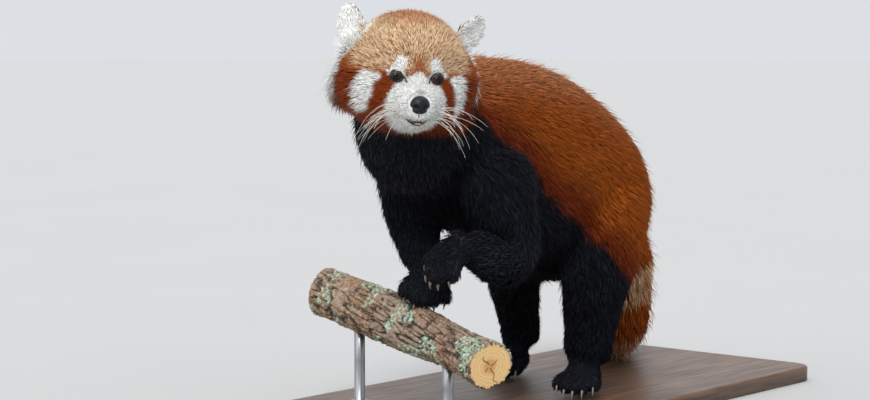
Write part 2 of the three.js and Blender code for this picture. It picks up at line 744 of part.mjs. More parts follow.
// Lines in rows round a swept part. way is -1 towards its first station and 1 towards its last, and drift
// turns the line towards the lowest side of the part, in radians for each millimetre.
function linesOn(stations, up, rows, { inset, way, drift = 0, caps = [0.07, 0.07] }) {
  const path = pathOf(stations, up);
  const whole = path.centre.getLength();
  return rows.flatMap(([share, first, last, count], row) =>
    Array.from({ length: count }, (_, k) => {
      const shift = row % 2 ? 0.25 : -0.25;
      const turn = THREE.MathUtils.degToRad(first + ((last - first) * (k + 0.5 + shift)) / count);
      const fall = -drift * Math.cos(turn);
      return (reach) => coreAt(path, turn + fall * reach, share + (way * reach) / whole, caps, inset);
    }),
  );
}

const torsoRows = (rows, drift) => linesOn(TORSO, UP, rows, { inset: INSET.torso, way: -1, drift });
const torsoLocks = (grow) => [
  ...locksAlong(torsoRows(TORSO_BACK, 0.003), LOCKS.back, 11, grow),
  ...locksAlong(torsoRows(TORSO_BELLY, 0.001), LOCKS.belly, 12, grow),
];
const neckLocks = (grow) => {
  const lines = linesOn(NECK, UP, NECK_ROWS, { inset: INSET.neck, way: -1, caps: [0.16, 0.16] });
  return locksAlong(lines, LOCKS.neck, 13, grow);
};
const legLocks = (line, rows, seed, grow) => {
  const lines = linesOn(line, LEG_UP, rows, { inset: INSET.leg, way: 1, caps: [0.1, 0.05] });
  return locksAlong(lines, LOCKS.leg, seed, grow);
};
const tailLocks = (k, grow) => {
  const rows = TAIL_ROWS.shares.map((share) => [(k + share) / TAIL_PARTS, 0, 360, TAIL_ROWS.count]);
  const lines = linesOn(TAIL, TAIL_UP, rows, { inset: INSET.tail, way: 1, caps: [0.06, 0.06] });
  return locksAlong(lines, LOCKS.tail, 40 + k, grow);
};

// The direction out of the head's surface at a point of its own axes.
function headOut(p) {
  const step = 0.5;
  const slope = ["x", "y", "z"].map((axis) => {
    const more = p.clone();
    const less = p.clone();
    more[axis] += step;
    less[axis] -= step;
    return headField(more) - headField(less);
  });
  return new THREE.Vector3(...slope).normalize();
}

// The ruff of each cheek, which lies out, back and down over the head's own surface.
function ruffLocks(grow) {
  const middle = new THREE.Vector3(0, 6, -8);
  const lines = [1, -1].flatMap((hand) =>
    RUFF_ROWS.flatMap(([ahead, high, low, count]) =>
      Array.from({ length: count }, (_, k) => {
        const up = high + ((low - high) * k) / (count - 1);
        const side = hand * Math.sqrt(1 - Math.min(0.9, ahead ** 2 + up ** 2));
        const look = new THREE.Vector3(side, ahead, up).normalize();
        const p = middle.clone().addScaledVector(look, headReach(look, middle) - INSET.head);
        const out = headOut(p);
        const lie = new THREE.Vector3(hand * 0.35, -0.6, -0.5 - 0.4 * up);
        lie.addScaledVector(out, -lie.dot(out)).normalize();
        const away = headDirection(out.x, out.y, out.z);
        return (reach) => {
          const q = p.clone().addScaledVector(lie, reach).addScaledVector(out, -reach * reach * 0.006);
          return { point: onHead(q.x, q.y, q.z), out: away };
        };
      }),
    ),
  );
  return locksAlong(lines, LOCKS.ruff, 21, grow);
}

// Long hair over the foot of each ear's cup, rooted in the ear's edge next to the crown.
function earLocks(hand, grow) {
  const which = hand > 0 ? "left" : "right";
  const lean = THREE.MathUtils.degToRad(EAR.lean[which]);
  const turn = headDirection(hand * 0.52, 0.85, 0.05);
  const rise = headDirection(hand * Math.sin(lean), 0, Math.cos(lean));
  const edge = new THREE.Vector3().crossVectors(rise, turn).normalize();
  const crownSide = edge.dot(sideAxis) * hand > 0 ? -1 : 1;
  const lie = rise.clone().addScaledVector(edge, -crownSide * 0.75).normalize();
  const lines = [0.14, 0.36, 0.58].map((share, k) => {
    const root = earPoint(hand, share)
      .addScaledVector(edge, crownSide * EAR.half * (0.84 - 0.18 * k))
      .addScaledVector(turn, EAR.thick * 0.45);
    return (reach) => ({ point: root.clone().addScaledVector(lie, reach), out: turn });
  });
  return locksAlong(lines, LOCKS.ear, 30 + hand, grow);
}

// The two solids come near each other, so that one can need cutting clear of the other.
function near(a, b) {
  const p = a.boundingBox();
  const q = b.boundingBox();
  return [0, 1, 2].every((k) => p.min[k] < q.max[k] && q.min[k] < p.max[k]);
}
const clear = (solid, others) =>
  others.filter((o) => near(solid, o)).reduce((left, o) => left.subtract(o), solid);

const eyes = { left: 1, right: -1 };

function headCore(grow) {
  if (grow > 0) return headShell(grow - INSET.head);
  let head = headShell(-INSET.head);
  for (const hand of Object.values(eyes)) head = head.add(eyeBall(hand, EYE.lid + GAP));
  head = head.add(lowerLip());
  for (const hand of Object.values(eyes)) {
    head = head.subtract(eyeBall(hand, GAP)).subtract(lidOpening(hand));
  }
  return head.subtract(mouthLine()).subtract(nosePad(GAP));
}

function noseCore(grow) {
  const pad = nosePad(grow);
  if (grow > 0) return pad;
  return Object.values(eyes).reduce((left, hand) => left.subtract(nostril(hand)), pad);
}

// Every node in the order of who keeps its shape where two meet. Each core and its locks come as functions of
// how much they are grown.
const nodes = [];
const node = (name, material, core, locks = () => []) => nodes.push({ name, material, core, locks });

ROD.shares.forEach((share, k) => node("stand_rod_" + (k + 1), rodSteel, (grow) => rodForm(share, grow)));
node("stand_base", baseWood, baseForm);
node("perch_branch", bark, branchForm);
node("torso", rustCoat, torsoCore, torsoLocks);
for (const [side, hand] of Object.entries(eyes)) {
  node("ear_" + side, earCoat, (grow) => earForm(hand, grow), (grow) => earLocks(hand, grow));
}
node("head", headCoat, headCore, ruffLocks);
node("neck", blackCoat, neckCore, neckLocks);
for (const [name, leg] of Object.entries(LEGS)) {
  const kind = name.split("_")[0];
  const coat = kind === "hindleg" ? rustCoat : blackCoat;
  const seed = 50 + 4 * Object.keys(LEGS).indexOf(name);
  const locks = (end, own) => (grow) => legLocks(leg.line, LEG_ROWS[kind + end], own, grow);
  node(name + "_upper", coat, (grow) => upperLeg(leg, grow), locks("_upper", seed));
  node(name + "_lower", blackCoat, (grow) => lowerLeg(leg, grow), locks("_lower", seed + 1));
  node(name + "_foot", blackCoat, (grow) => footForm(leg.foot, grow));
}
for (let k = 0; k < TAIL_PARTS; k++) {
  node("tail_" + (k + 1), tailCoat, (grow) => tailCore(k, grow), (grow) => tailLocks(k, grow));
}
for (const [name, leg] of Object.entries(LEGS)) {
  for (let k = 0; k < DIGITS; k++) {
    node(name + "_claw_" + (k + 1), clawHorn, () => clawForm(leg.foot, k - 2));
  }
}

const panda = new THREE.Group();
const floor = underBase();
const grownCores = nodes.map((n) => n.core(GAP));
const grownLocks = nodes.map((n) => n.locks(GAP));
nodes.forEach((n, i) => {
  const own = clear(n.core(0), grownCores.slice(0, i));
  const free = n.locks(0).map((lock) =>
    clear(lock, [...grownCores.filter((_, k) => k !== i), ...grownLocks.slice(0, i).flat()]));
  let solid = largest(own);
  if (free.length > 0) solid = largest(joined([solid, ...free]));
  if (!n.name.startsWith("stand_") && n.name !== "perch_branch") solid = largest(solid.subtract(floor));
  panda.add(meshOf(n.name, solid, n.material));
});
for (const [side, hand] of Object.entries(eyes)) panda.add(meshOf("eye_" + side, eyeBall(hand), eyeGloss));
panda.add(meshOf("nose", largest(noseCore(0)), noseSkin));

panda.position.set(0, -BASE.centreY, BASE.thick);
export default panda;
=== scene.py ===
"""A life-size red panda in mid step, as a still museum model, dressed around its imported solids.

One skin is lofted from the lines of the body's parts and joined. Thin closed tufts of hair are rooted all over it
and lie along the body. The eyes, lids, nose, mouth, whiskers and claws are pieces of their own. The animal stands
on a short cut branch and a flat wooden base. Lines and sizes are in millimetres over the top of the base, and
placed() turns them into metres of the frame. +Z is up, the body faces -Y and its left side is +X.
"""

import bpy
import numpy as np
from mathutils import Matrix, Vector


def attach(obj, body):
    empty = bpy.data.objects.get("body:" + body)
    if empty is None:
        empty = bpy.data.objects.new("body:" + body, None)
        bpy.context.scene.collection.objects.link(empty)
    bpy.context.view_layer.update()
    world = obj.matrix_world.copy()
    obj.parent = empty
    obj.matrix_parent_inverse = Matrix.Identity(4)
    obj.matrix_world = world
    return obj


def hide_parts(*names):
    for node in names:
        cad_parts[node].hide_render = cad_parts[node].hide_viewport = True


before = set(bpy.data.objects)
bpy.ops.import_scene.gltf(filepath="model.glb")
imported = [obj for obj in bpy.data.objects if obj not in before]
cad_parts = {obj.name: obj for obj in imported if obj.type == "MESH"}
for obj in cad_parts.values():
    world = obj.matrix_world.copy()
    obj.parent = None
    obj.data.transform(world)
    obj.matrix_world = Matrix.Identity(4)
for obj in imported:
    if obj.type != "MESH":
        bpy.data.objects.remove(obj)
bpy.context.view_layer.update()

bl_info = {
    "name": "Red Panda Model",
    "version": (1, 0, 0),
    "blender": (4, 5, 0),
    "location": "View3D > Sidebar > Red Panda",
    "description": "Builds the coat, face, perch and stand of a still red panda around its solids",
    "category": "Object",
}

# Placing of the millimetres in the frame, in millimetres.
LIFT = np.array([0.0, -100.0, 18.0])
UP = np.array([0.0, 0.0, 1.0])
LEG_UP = np.array([0.0, -1.0, 0.2])
TAIL_UP = np.array([1.0, 0.0, 0.001])

# Each station of a part is x, y, z, half width and half height out to the coat's tips.
TORSO = [
    [0, 260, 194, 36, 42],
    [0, 237, 199, 63, 70],
    [0, 200, 208, 84, 92],
    [0, 156, 223, 94, 108],
    [0, 108, 241, 95, 117],
    [0, 60, 261, 92, 117],
    [0, 10, 280, 86, 108],
    [0, -40, 297, 80, 93],
    [0, -86, 306, 74, 79],
    [0, -124, 308, 63, 68],
    [2, -150, 304, 43, 46],
]
NECK = [
    [-2, -92, 286, 58, 64],
    [4, -112, 304, 67, 72],
    [16, -136, 326, 66, 69],
    [32, -158, 344, 60, 62],
    [44, -174, 358, 50, 52],
]
TAIL = [
    [0, 220, 208, 22, 22],
    [0, 248, 186, 30, 30],
    [-1, 268, 150, 36, 36],
    [-10, 280, 106, 39, 39],
    [-27, 297, 65, 40, 40],
    [-52, 325, 46, 41, 39],
    [-80, 356, 41, 40, 38],
    [-101, 386, 38, 37, 35.5],
    [-111, 408, 34, 29, 30],
    [-115, 424, 29, 14, 18],
]
LEGS = {
    "foreleg_right": [
        [-30, -50, 300, 34, 46],
        [-44, -58, 270, 44, 50],
        [-48, -62, 236, 38, 43],
        [-46, -63, 208, 32, 35],
        [-37, -67, 186, 27, 30],
        [-24, -76, 166, 23, 25],
        [-13, -84, 151, 21, 22],
    ],
    "foreleg_left": [
        [30, -46, 298, 34, 46],
        [54, -52, 262, 43, 50],
        [70, -52, 222, 37, 43],
        [81, -50, 188, 31, 34],
        [85, -66, 168, 29, 29],
        [81, -94, 177, 25, 26],
        [75, -120, 190, 22, 22],
    ],
    "hindleg_right": [
        [-30, 172, 252, 46, 50],
        [-48, 170, 208, 56, 66],
        [-64, 162, 162, 45, 55],
        [-75, 158, 122, 32, 40],
        [-79, 165, 88, 26, 31],
        [-81, 173, 58, 23, 27],
        [-81, 172, 30, 24, 26],
    ],
    "hindleg_left": [
        [30, 148, 248, 46, 50],
        [50, 144, 206, 57, 66],
        [64, 130, 160, 47, 56],
        [68, 120, 122, 37, 45],
        [66, 118, 88, 31, 36],
        [63, 117, 58, 28, 31],
        [62, 116, 30, 27, 29],
    ],
}
# Each foot: wrist, heading in degrees left of -Y, dip and roll, length, width, height and how far the toes curl.
FEET = {
    "foreleg_right": dict(wrist=(-9, -88, 147), heading=40, dip=30, roll=-9, length=50, width=62, height=31, curl=50),
    "foreleg_left": dict(wrist=(74, -124, 192), heading=-26, dip=45, roll=-34, length=56, width=52, height=29, curl=30),
    "hindleg_right": dict(wrist=(-80, 164, 24), heading=20, dip=10, roll=0, length=76, width=52, height=31, curl=22),
    "hindleg_left": dict(wrist=(62, 110, 24), heading=24, dip=10, roll=0, length=64, width=58, height=31, curl=24),
}
HEAD_AT = np.array([49.3, -185.8, 370.0])
HEAD_TURN = {"yaw": 53, "pitch": -3, "roll": 4.3}
# The head is a soft union of these in its own axes: side, ahead, up and half sizes, mirrored if side isn't 0.
HEAD_FORMS = [
    [0, -8, 15.5, 59, 54, 53],
    [0, 16, 25, 47, 35, 37],
    [38, 2, -10, 38, 41, 40],
    [22, 24, -20, 28, 28, 26],
    [0, 42, -22, 24, 28, 17],
    [0, 54, -26, 17, 20, 13],
    [0, 38, -40, 17, 22, 12],
    [0, 4, -34, 42, 38, 27],
]
HEAD_SOFT = 5.5
HEAD_MIDDLE = np.array([0.0, 6.0, -8.0])
EYE = {"side": 21.2, "ahead": 41.0, "up": 1.0, "radius": 8.2}
NOSE = {"ahead": 67.5, "up": -24.5, "wide": 10.4, "tall": 9.6, "deep": 8.5}
EARS = {
    1: {"side": 53, "lean": 40, "length": 42},
    -1: {"side": 55, "lean": 20, "length": 39},
}
PERCH = {"left": (-141, -110, 121), "middle": (-2, -112, 90), "right": (133, -151, 68), "radius": 27}
ROD = {"radius": 6, "sunk": 10, "shares": (0.2, 0.72)}
BASE = {"width": 320, "length": 710, "thick": 18, "corner": 26, "centre_y": 100}

# Lie of the coat on each part: hair length, depth over the skin and tuft width, each at the part's two ends.
COATS = {
    "torso": ((30, 25), (10, 8), (1.9, 1.7)),
    "neck": ((30, 20), (9, 6), (1.8, 1.5)),
    "tail": ((24, 34), (11, 13), (2.1, 2.2)),
    "fore": ((22, 11), (8, 3.0), (1.7, 1.3)),
    "hind": ((26, 10), (9, 2.8), (1.9, 1.4)),
    "foot": ((14, 7), (3.6, 2.2), (1.5, 1.2)),
    "ear": ((11, 4), (2.6, 1.6), (1.1, 0.9)),
}

FLESH = (
    ["torso", "neck", "head", "ear_left", "ear_right"]
    + [leg + end for leg in LEGS for end in ("_upper", "_lower", "_foot")]
    + ["tail_%d" % k for k in range(1, 5)]
)


def placed(points):
    """Millimetres over the base's top as metres in the frame."""
    return (np.asarray(points, float) + LIFT) * 0.001


def unit(v):
    """Vectors at length 1."""
    return v / np.maximum(np.linalg.norm(v, axis=-1, keepdims=True), 1e-9)


def smooth(low, high, x):
    """0 below low and 1 above high, with a soft S between."""
    t = np.clip((x - low) / (high - low), 0, 1)
    return t * t * (3 - 2 * t)


def through(stations, share):
    """A Catmull-Rom line through evenly timed stations: its values and slopes at shares from 0 to 1."""
    s = np.asarray(stations, float)
    last = len(s) - 1
    place = np.clip(np.asarray(share, float), 0, 1) * last
    k = np.minimum(place.astype(int), last - 1)
    w = (place - k)[..., None]
    line = np.vstack([2 * s[0] - s[1], s, 2 * s[-1] - s[-2]])
    before, here, there, after = line[k], line[k + 1], line[k + 2], line[k + 3]
    out = (there - before) / 2
    into = (after - here) / 2
    a = 2 * here - 2 * there + out + into
    b = 3 * there - 3 * here - 2 * out - into
    return ((a * w + b) * w + out) * w + here, ((3 * a * w + 2 * b) * w + out) * last


def section(stations, up, t, u, caps=(0.16, 0.16), inset=0.0):
    """Points of a part carried along its line: centre(t) + side cos(u) width(t) + over sin(u) height(t), where both
    sizes are drawn in by the inset and close in a quarter ellipse over the caps. Returns the points, the centres, the
    way along the line, side, over and the two sizes."""
    value, slope = through(stations, t)
    along = unit(slope[..., :3])
    side = unit(np.cross(along, up))
    over = np.cross(side, along)
    near = np.minimum(t / caps[0] if caps[0] else 1.0, (1 - t) / caps[1] if caps[1] else 1.0)
    share = np.sqrt(np.clip(1 - (1 - np.clip(near, 0, 1)) ** 2, 0, 1))
    wide = np.maximum(value[..., 3] - inset, 0.3 * value[..., 3]) * share
    tall = np.maximum(value[..., 4] - inset, 0.3 * value[..., 4]) * share
    point = value[..., :3] + side * (np.cos(u) * wide)[..., None] + over * (np.sin(u) * tall)[..., None]
    return point, value[..., :3], along, side, over, wide, tall


def tube(rings, first, last):
    """A closed surface through rings of points, fanned to a pole at each end: its points and triangles."""
    count, sides = rings.shape[:2]
    points = np.concatenate([rings.reshape(-1, 3), [first, last]])
    i, j = np.meshgrid(np.arange(count - 1), np.arange(sides), indexing="ij")
    a = (i * sides + j).ravel()
    b = (i * sides + (j + 1) % sides).ravel()
    j = np.arange(sides)
    k = (j + 1) % sides
    end = (count - 1) * sides
    pole = np.full(sides, count * sides)
    faces = [
        np.stack([a, a + sides, b + sides], 1),
        np.stack([a, b + sides, b], 1),
        np.stack([pole, j, k], 1),
        np.stack([pole + 1, end + k, end + j], 1),
    ]
    return points, np.concatenate(faces)


def loft(stations, up, steps=40, sides=40, caps=(0.16, 0.16), inset=(0.0, 0.0)):
    """A closed part carried along its stations, drawn in from the coat's tips by an inset that runs from its first to
    its last station, with its ends drawn in too."""
    length = np.linalg.norm(np.diff(np.asarray(stations, float)[:, :3], axis=0), axis=1).sum()
    share = (1 - np.cos(np.pi * (np.arange(1, steps) / steps))) / 2
    low, high = inset[0] / length, 1 - inset[1] / length
    t = np.linspace(0, 1, steps + 1)[1:-1] * 0.6 + share * 0.4
    u = np.arange(sides) / sides * 2 * np.pi
    grid_t, grid_u = np.meshgrid(t, u, indexing="ij")
    real = low + (high - low) * grid_t
    value, slope = through(stations, real)
    along = unit(slope[..., :3])
    side = unit(np.cross(along, up))
    over = np.cross(side, along)
    near = np.minimum(grid_t / caps[0], (1 - grid_t) / caps[1])
    round_in = np.sqrt(np.clip(1 - (1 - np.clip(near, 0, 1)) ** 2, 0, 1))
    draw_in = inset[0] + (inset[1] - inset[0]) * real
    wide = np.maximum(value[..., 3] - draw_in, 0.3 * value[..., 3]) * round_in
    tall = np.maximum(value[..., 4] - draw_in, 0.3 * value[..., 4]) * round_in
    rings = value[..., :3] + side * (np.cos(grid_u) * wide)[..., None] + over * (np.sin(grid_u) * tall)[..., None]
    ends = through(stations, np.array([low, high]))[0][:, :3]
    return tube(rings, ends[0], ends[1])


def turn_matrix(axis, degrees):
    """A turn about one axis as a 3 by 3 matrix."""
    c, s = np.cos(np.radians(degrees)), np.sin(np.radians(degrees))
    turns = {
        "x": [[1, 0, 0], [0, c, -s], [0, s, c]],
        "y": [[c, 0, s], [0, 1, 0], [-s, 0, c]],
        "z": [[c, -s, 0], [s, c, 0], [0, 0, 1]],
    }
    return np.array(turns[axis], float)


HEAD_AXES = (
    turn_matrix("z", HEAD_TURN["yaw"])
    @ turn_matrix("x", -HEAD_TURN["pitch"])
    @ turn_matrix("y", HEAD_TURN["roll"])
    @ np.array([[1, 0, 0], [0, -1, 0], [0, 0, 1]], float)
)


def on_head(points):
    """Side, ahead and up of the head as millimetres of the part."""
    return np.asarray(points, float) @ HEAD_AXES.T + HEAD_AT


def head_way(directions):
    """Directions of the head's axes as directions of the part."""
    return unit(np.asarray(directions, float) @ HEAD_AXES.T)


def in_head(points):
    """Millimetres of the part as side, ahead and up of the head."""
    return (np.asarray(points, float) - HEAD_AT) @ HEAD_AXES


def head_field(p):
    """How far outside the head a point of its axes is: a soft least of the distances to its rounded forms."""
    total = np.zeros(p.shape[:-1])
    for side, ahead, up, a, b, c in HEAD_FORMS:
        for hand in (0,) if side == 0 else (-1, 1):
            q = (p - np.array([hand * side, ahead, up])) / np.array([a, b, c])
            reach = np.linalg.norm(q, axis=-1)
            slope = np.maximum(np.linalg.norm(q / np.array([a, b, c]), axis=-1), 1e-6)
            total = total + np.exp(-(reach - 1) * reach / slope / HEAD_SOFT)
    return -HEAD_SOFT * np.log(np.maximum(total, 1e-300))


def head_reach(way):
    """How far the head's surface is from its middle along each direction, by halving."""
    low = np.zeros(way.shape[:-1])
    high = np.full(way.shape[:-1], 120.0)
    for _ in range(22):
        middle = (low + high) / 2
        inside = head_field(HEAD_MIDDLE + way * middle[..., None]) < 0
        low = np.where(inside, middle, low)
        high = np.where(inside, high, middle)
    return low


def eye_gap(p):
    """How far places in the head's axes are from the nearer eye's line ahead."""
    side = np.abs(p[..., 0]) - EYE["side"]
    return np.hypot(side, p[..., 2] - EYE["up"]) + np.where(p[..., 1] > 20, 0, 100)


def head_depth(p):
    """The depth of the coat on the head: thin on the muzzle and round the eyes, deep on the cheeks and the nape."""
    side = np.abs(p[..., 0])
    depth = 3.4 + 3.6 * smooth(34, 60, side) * smooth(30, -20, p[..., 2])
    depth = depth + 2.4 * smooth(20, -30, p[..., 1])
    depth = depth - 1.6 * smooth(40, 58, p[..., 1])
    depth = depth + 1.2 * smooth(12.5, 8, eye_gap(p)) + 5.5 * smooth(9, 5, eye_gap(p))
    nose_gap = np.hypot(p[..., 0], p[..., 2] - NOSE["up"]) + np.where(p[..., 1] > 50, 0, 100)
    return depth + 5 * smooth(11, 6, nose_gap)


def head_shell(rows=90, sides=110):
    """The head's skin: middle + way(tilt, turn) times (reach - depth), with tilt from the nape to the nose."""
    tilt = np.pi * (1 - (np.arange(1, rows) / rows) ** 1.25)
    turn = -2 * np.pi * np.arange(sides) / sides
    tilt, turn = np.meshgrid(tilt, turn, indexing="ij")
    way = np.stack([np.sin(tilt) * np.cos(turn), np.cos(tilt), np.sin(tilt) * np.sin(turn)], -1)
    ends = np.array([[0.0, -1.0, 0.0], [0.0, 1.0, 0.0]])

    def skin_at(direction):
        reach = head_reach(direction)
        point = HEAD_MIDDLE + direction * reach[..., None]
        return on_head(HEAD_MIDDLE + direction * (reach - head_depth(point))[..., None])

    poles = skin_at(ends)
    return tube(skin_at(way), poles[0], poles[1])


def ear_line(hand, t):
    """Points on an ear's middle line, from its root at share 0 to its tip at 1."""
    ear = EARS[hand]
    lean = np.radians(ear["lean"])
    run = ear["length"] * np.asarray(t, float)
    side = hand * (ear["side"] + np.sin(lean) * run)
    return on_head(np.stack([side, -6 - 3 * np.asarray(t, float), 33 + np.cos(lean) * run], -1))


EAR_SHARES = np.array([-0.3, 0, 0.3, 0.6, 0.85, 1.0])


def ear_facing(hand):
    """The way an ear's cup faces."""
    return head_way([hand * 0.52, 0.85, 0.05])


def ear_stations(hand, inset=0.0):
    """An ear's stations from under the crown's coat to its tip."""
    widths = np.array([1, 1.02, 1.0, 0.88, 0.64, 0.3])
    line = ear_line(hand, EAR_SHARES)
    return np.column_stack([line, 17 * widths - inset, 7.5 * (0.5 + 0.5 * widths) - inset])


def ear_shell(hand):
    """An ear's skin: a leaf whose section is bent into a cup, so that its edges stand forward of its middle."""
    stations = ear_stations(hand, 2.0)
    t, u = np.meshgrid(np.linspace(0.02, 0.91, 34), np.arange(40) / 40 * 2 * np.pi, indexing="ij")
    _, centre, _, side, over, wide, tall = section(stations, ear_facing(hand), t, u, (0.02, 0.16))
    across = np.cos(u)
    cup = 7.0 * smooth(0.18, 0.45, t) * smooth(1.0, 0.8, t)
    height = np.sin(u) * tall * (0.5 + 0.12 * (1 - t)) + cup * (across ** 2 - 0.62)
    rings = centre + side * (across * wide)[..., None] + over * height[..., None]
    return tube(rings, centre[0, 0], centre[-1, 0])


def foot_axes(foot):
    """The ways ahead to the toes, across to the animal's left, and up out of a foot's back."""
    h, d = np.radians(foot["heading"]), np.radians(foot["dip"])
    ahead = np.array([np.sin(h) * np.cos(d), -np.cos(h) * np.cos(d), -np.sin(d)])
    flat = np.array([np.cos(h), np.sin(h), 0.0])
    r = np.radians(foot["roll"])
    across = flat * np.cos(r) + np.cross(ahead, flat) * np.sin(r) + ahead * (ahead @ flat) * (1 - np.cos(r))
    return ahead, across, -np.cross(across, ahead)


def digit_line(foot, k):
    """A digit's knuckle, bend and tip, the way it points and the way up from its claw, for a digit from -2 to 2
    across the foot."""
    ahead, across, top = foot_axes(foot)
    wrist = np.array(foot["wrist"], float)
    curl = np.radians(foot["curl"])
    fan = (k / 2) * foot["width"] * 0.36
    reach = foot["length"] * (1 - 0.055 * k * k)
    knuckle = wrist + ahead * reach * 0.52 + across * fan * 0.8
    bend = wrist + ahead * reach * 0.8 + across * fan - top
    pointing = ahead * np.cos(curl) - top * np.sin(curl)
    return knuckle, bend, bend + pointing * reach * 0.2, pointing, top * np.cos(curl) + ahead * np.sin(curl)


def foot_lines(foot):
    """The palm's stations and each digit's stations."""
    ahead, _, top = foot_axes(foot)
    wrist = np.array(foot["wrist"], float)
    shares = np.array([-0.24, -0.02, 0.24, 0.5, 0.74])[:, None]
    centre = wrist + ahead * foot["length"] * shares - top
    wide = foot["width"] * np.array([0.3, 0.37, 0.43, 0.47, 0.44])
    tall = foot["height"] * np.array([0.42, 0.5, 0.5, 0.46, 0.36])
    lines = [np.column_stack([centre, wide, tall])]
    half = foot["width"] * 0.118
    for k in range(-2, 3):
        knuckle, bend, tip, _, _ = digit_line(foot, k)
        sizes = half * np.array([[1, 1.1], [1.04, 1.12], [0.84, 0.86]])
        lines.append(np.column_stack([[knuckle, bend, tip], sizes]))
    return lines, top


def kind_of(leg):
    """fore or hind."""
    return leg[:4]


def skin_shells():
    """Every closed shell that the skin is joined from."""
    shells = [
        loft(TORSO, UP, 60, 72, (0.07, 0.07), COATS["torso"][1]),
        loft(NECK, UP, 30, 60, inset=COATS["neck"][1]),
        loft(TAIL, TAIL_UP, 70, 44, (0.06, 0.06), COATS["tail"][1]),
        head_shell(),
        ear_shell(1),
        ear_shell(-1),
    ]
    for leg, line in LEGS.items():
        shells.append(loft(line, LEG_UP, 48, 44, (0.1, 0.05), COATS[kind_of(leg)][1]))
        lines, top = foot_lines(FEET[leg])
        shells.append(loft(lines[0], top, 20, 36, (0.2, 0.24), COATS["foot"][1]))
        for digit in lines[1:]:
            shells.append(loft(digit, top, 16, 20, (0.12, 0.3), (1.0, 1.2)))
    return shells


def guide_grid(stations, up, caps, rows, sides):
    """Points, directions and sizes on a part's outline at an even grid of shares and turns."""
    t, u = np.meshgrid((np.arange(rows) + 0.5) / rows, np.arange(sides) / sides * 2 * np.pi, indexing="ij")
    t, u = t.ravel(), u.ravel()
    point, centre, along, side, over, wide, tall = section(stations, up, t, u, caps)
    out = unit(side * (np.cos(u) / np.maximum(wide, 1))[:, None] + over * (np.sin(u) / np.maximum(tall, 1))[:, None])
    return t, u, point, along, out


PARTS = ["torso", "neck", "tail", "head", "ear_left", "ear_right"] + list(LEGS) + [leg + "_foot" for leg in LEGS]


def guides():
    """Places on the outline with what the coat does there: the way it lies, its length, depth, width and part, and
    where the place is on the part's own unwrap."""
    found = []

    def add(part, kind, t, u, point, flow, share=None):
        spread = t if share is None else share
        length, depth, width = [a + (b - a) * spread for a, b in COATS[kind]] if isinstance(kind, str) else kind
        number = np.full(len(t), PARTS.index(part), float)
        unwrap = np.stack([t, (u / (2 * np.pi)) % 1], 1)
        found.append(np.column_stack([point, unit(flow), length, depth, width, number, unwrap]))

    t, u, point, along, _ = guide_grid(TORSO, UP, (0.07, 0.07), 26, 30)
    down = -UP * (0.28 + 0.5 * smooth(0.72, 0.98, t) * (np.sin(u) < 0.5))[:, None]
    add("torso", "torso", t, u, point, -along + down)
    t, u, point, along, _ = guide_grid(NECK, UP, (0.16, 0.16), 10, 24)
    add("neck", "neck", t, u, point, -along - UP * 1.3 * (np.sin(u) < 0.4)[:, None])
    t, u, point, along, _ = guide_grid(TAIL, TAIL_UP, (0.06, 0.06), 30, 18)
    add("tail", "tail", t, u, point, along)
    for leg, line in LEGS.items():
        t, u, point, along, out = guide_grid(line, LEG_UP, (0.1, 0.05), 18, 18)
        back = np.array([0, 0.35, 0]) * smooth(0.6, 0.1, t)[:, None]
        add(leg, kind_of(leg), t, u, point, along + back)
        lines, top = foot_lines(FEET[leg])
        ahead = foot_axes(FEET[leg])[0]
        t, u, point, along, out = guide_grid(lines[0], top, (0.2, 0.24), 8, 16)
        add(leg + "_foot", "foot", t, u, point, along)
        for k, digit in enumerate(lines[1:]):
            t, u, point, along, out = guide_grid(digit, top, (0.01, 0.3), 6, 8)
            keep = t > 0.35
            add(leg + "_foot", "foot", t[keep], u[keep], point[keep], along[keep], np.ones(keep.sum()))
    for hand, part in ((1, "ear_left"), (-1, "ear_right")):
        t, u, point, along, _ = guide_grid(ear_stations(hand), ear_facing(hand), (0.02, 0.16), 12, 16)
        keep = t > 0.13
        add(part, "ear", t[keep], u[keep], point[keep], along[keep])
    tilt, turn = np.meshgrid(np.pi * (np.arange(28) + 0.5) / 28, 2 * np.pi * np.arange(40) / 40, indexing="ij")
    tilt, turn = tilt.ravel(), turn.ravel()
    way = np.stack([np.sin(tilt) * np.cos(turn), np.cos(tilt), np.sin(tilt) * np.sin(turn)], -1)
    p = HEAD_MIDDLE + way * head_reach(way)[:, None]
    add("head", head_coat(p), tilt / np.pi, turn, on_head(p), head_way(head_flow(p)))
    return np.concatenate(found)


def side_fluff(p):
    """1 where long white hair hangs behind a cheek, under the ear, and 0 elsewhere."""
    behind = p[..., 1] - 6 * (p[..., 0] > 0)
    along = smooth(-38, -27, behind) * smooth(7, -3, behind)
    return smooth(46, 55, np.abs(p[..., 0])) * along * smooth(-28, -12, p[..., 2]) * smooth(48, 38, p[..., 2])


def head_coat(p):
    """Length, depth and width of the hair on the head at places in its axes."""
    side = np.abs(p[:, 0])
    cheek = smooth(34, 62, side) * smooth(34, 4, p[:, 2])
    nape = smooth(10, -30, p[:, 1])
    crown = smooth(8, 22, p[:, 2])
    length = 9.5 + 3 * crown + 9.5 * cheek + 7 * nape - 3.8 * smooth(38, 58, p[:, 1])
    length = length * (0.32 + 0.68 * smooth(7, 18, eye_gap(p)))
    width = 1.05 + 0.6 * cheek + 0.6 * nape - 0.2 * smooth(38, 58, p[:, 1])
    depth = np.minimum(head_depth(p), 3.0 + 4 * smooth(20, 40, np.abs(p[:, 0])) + 3 * smooth(20, -30, p[:, 1]))
    fluff = side_fluff(p)
    return length + 13 * fluff, depth * (0.5 + 0.5 * smooth(7, 18, eye_gap(p))) + 11 * fluff, width * (1 - 0.2 * fluff)


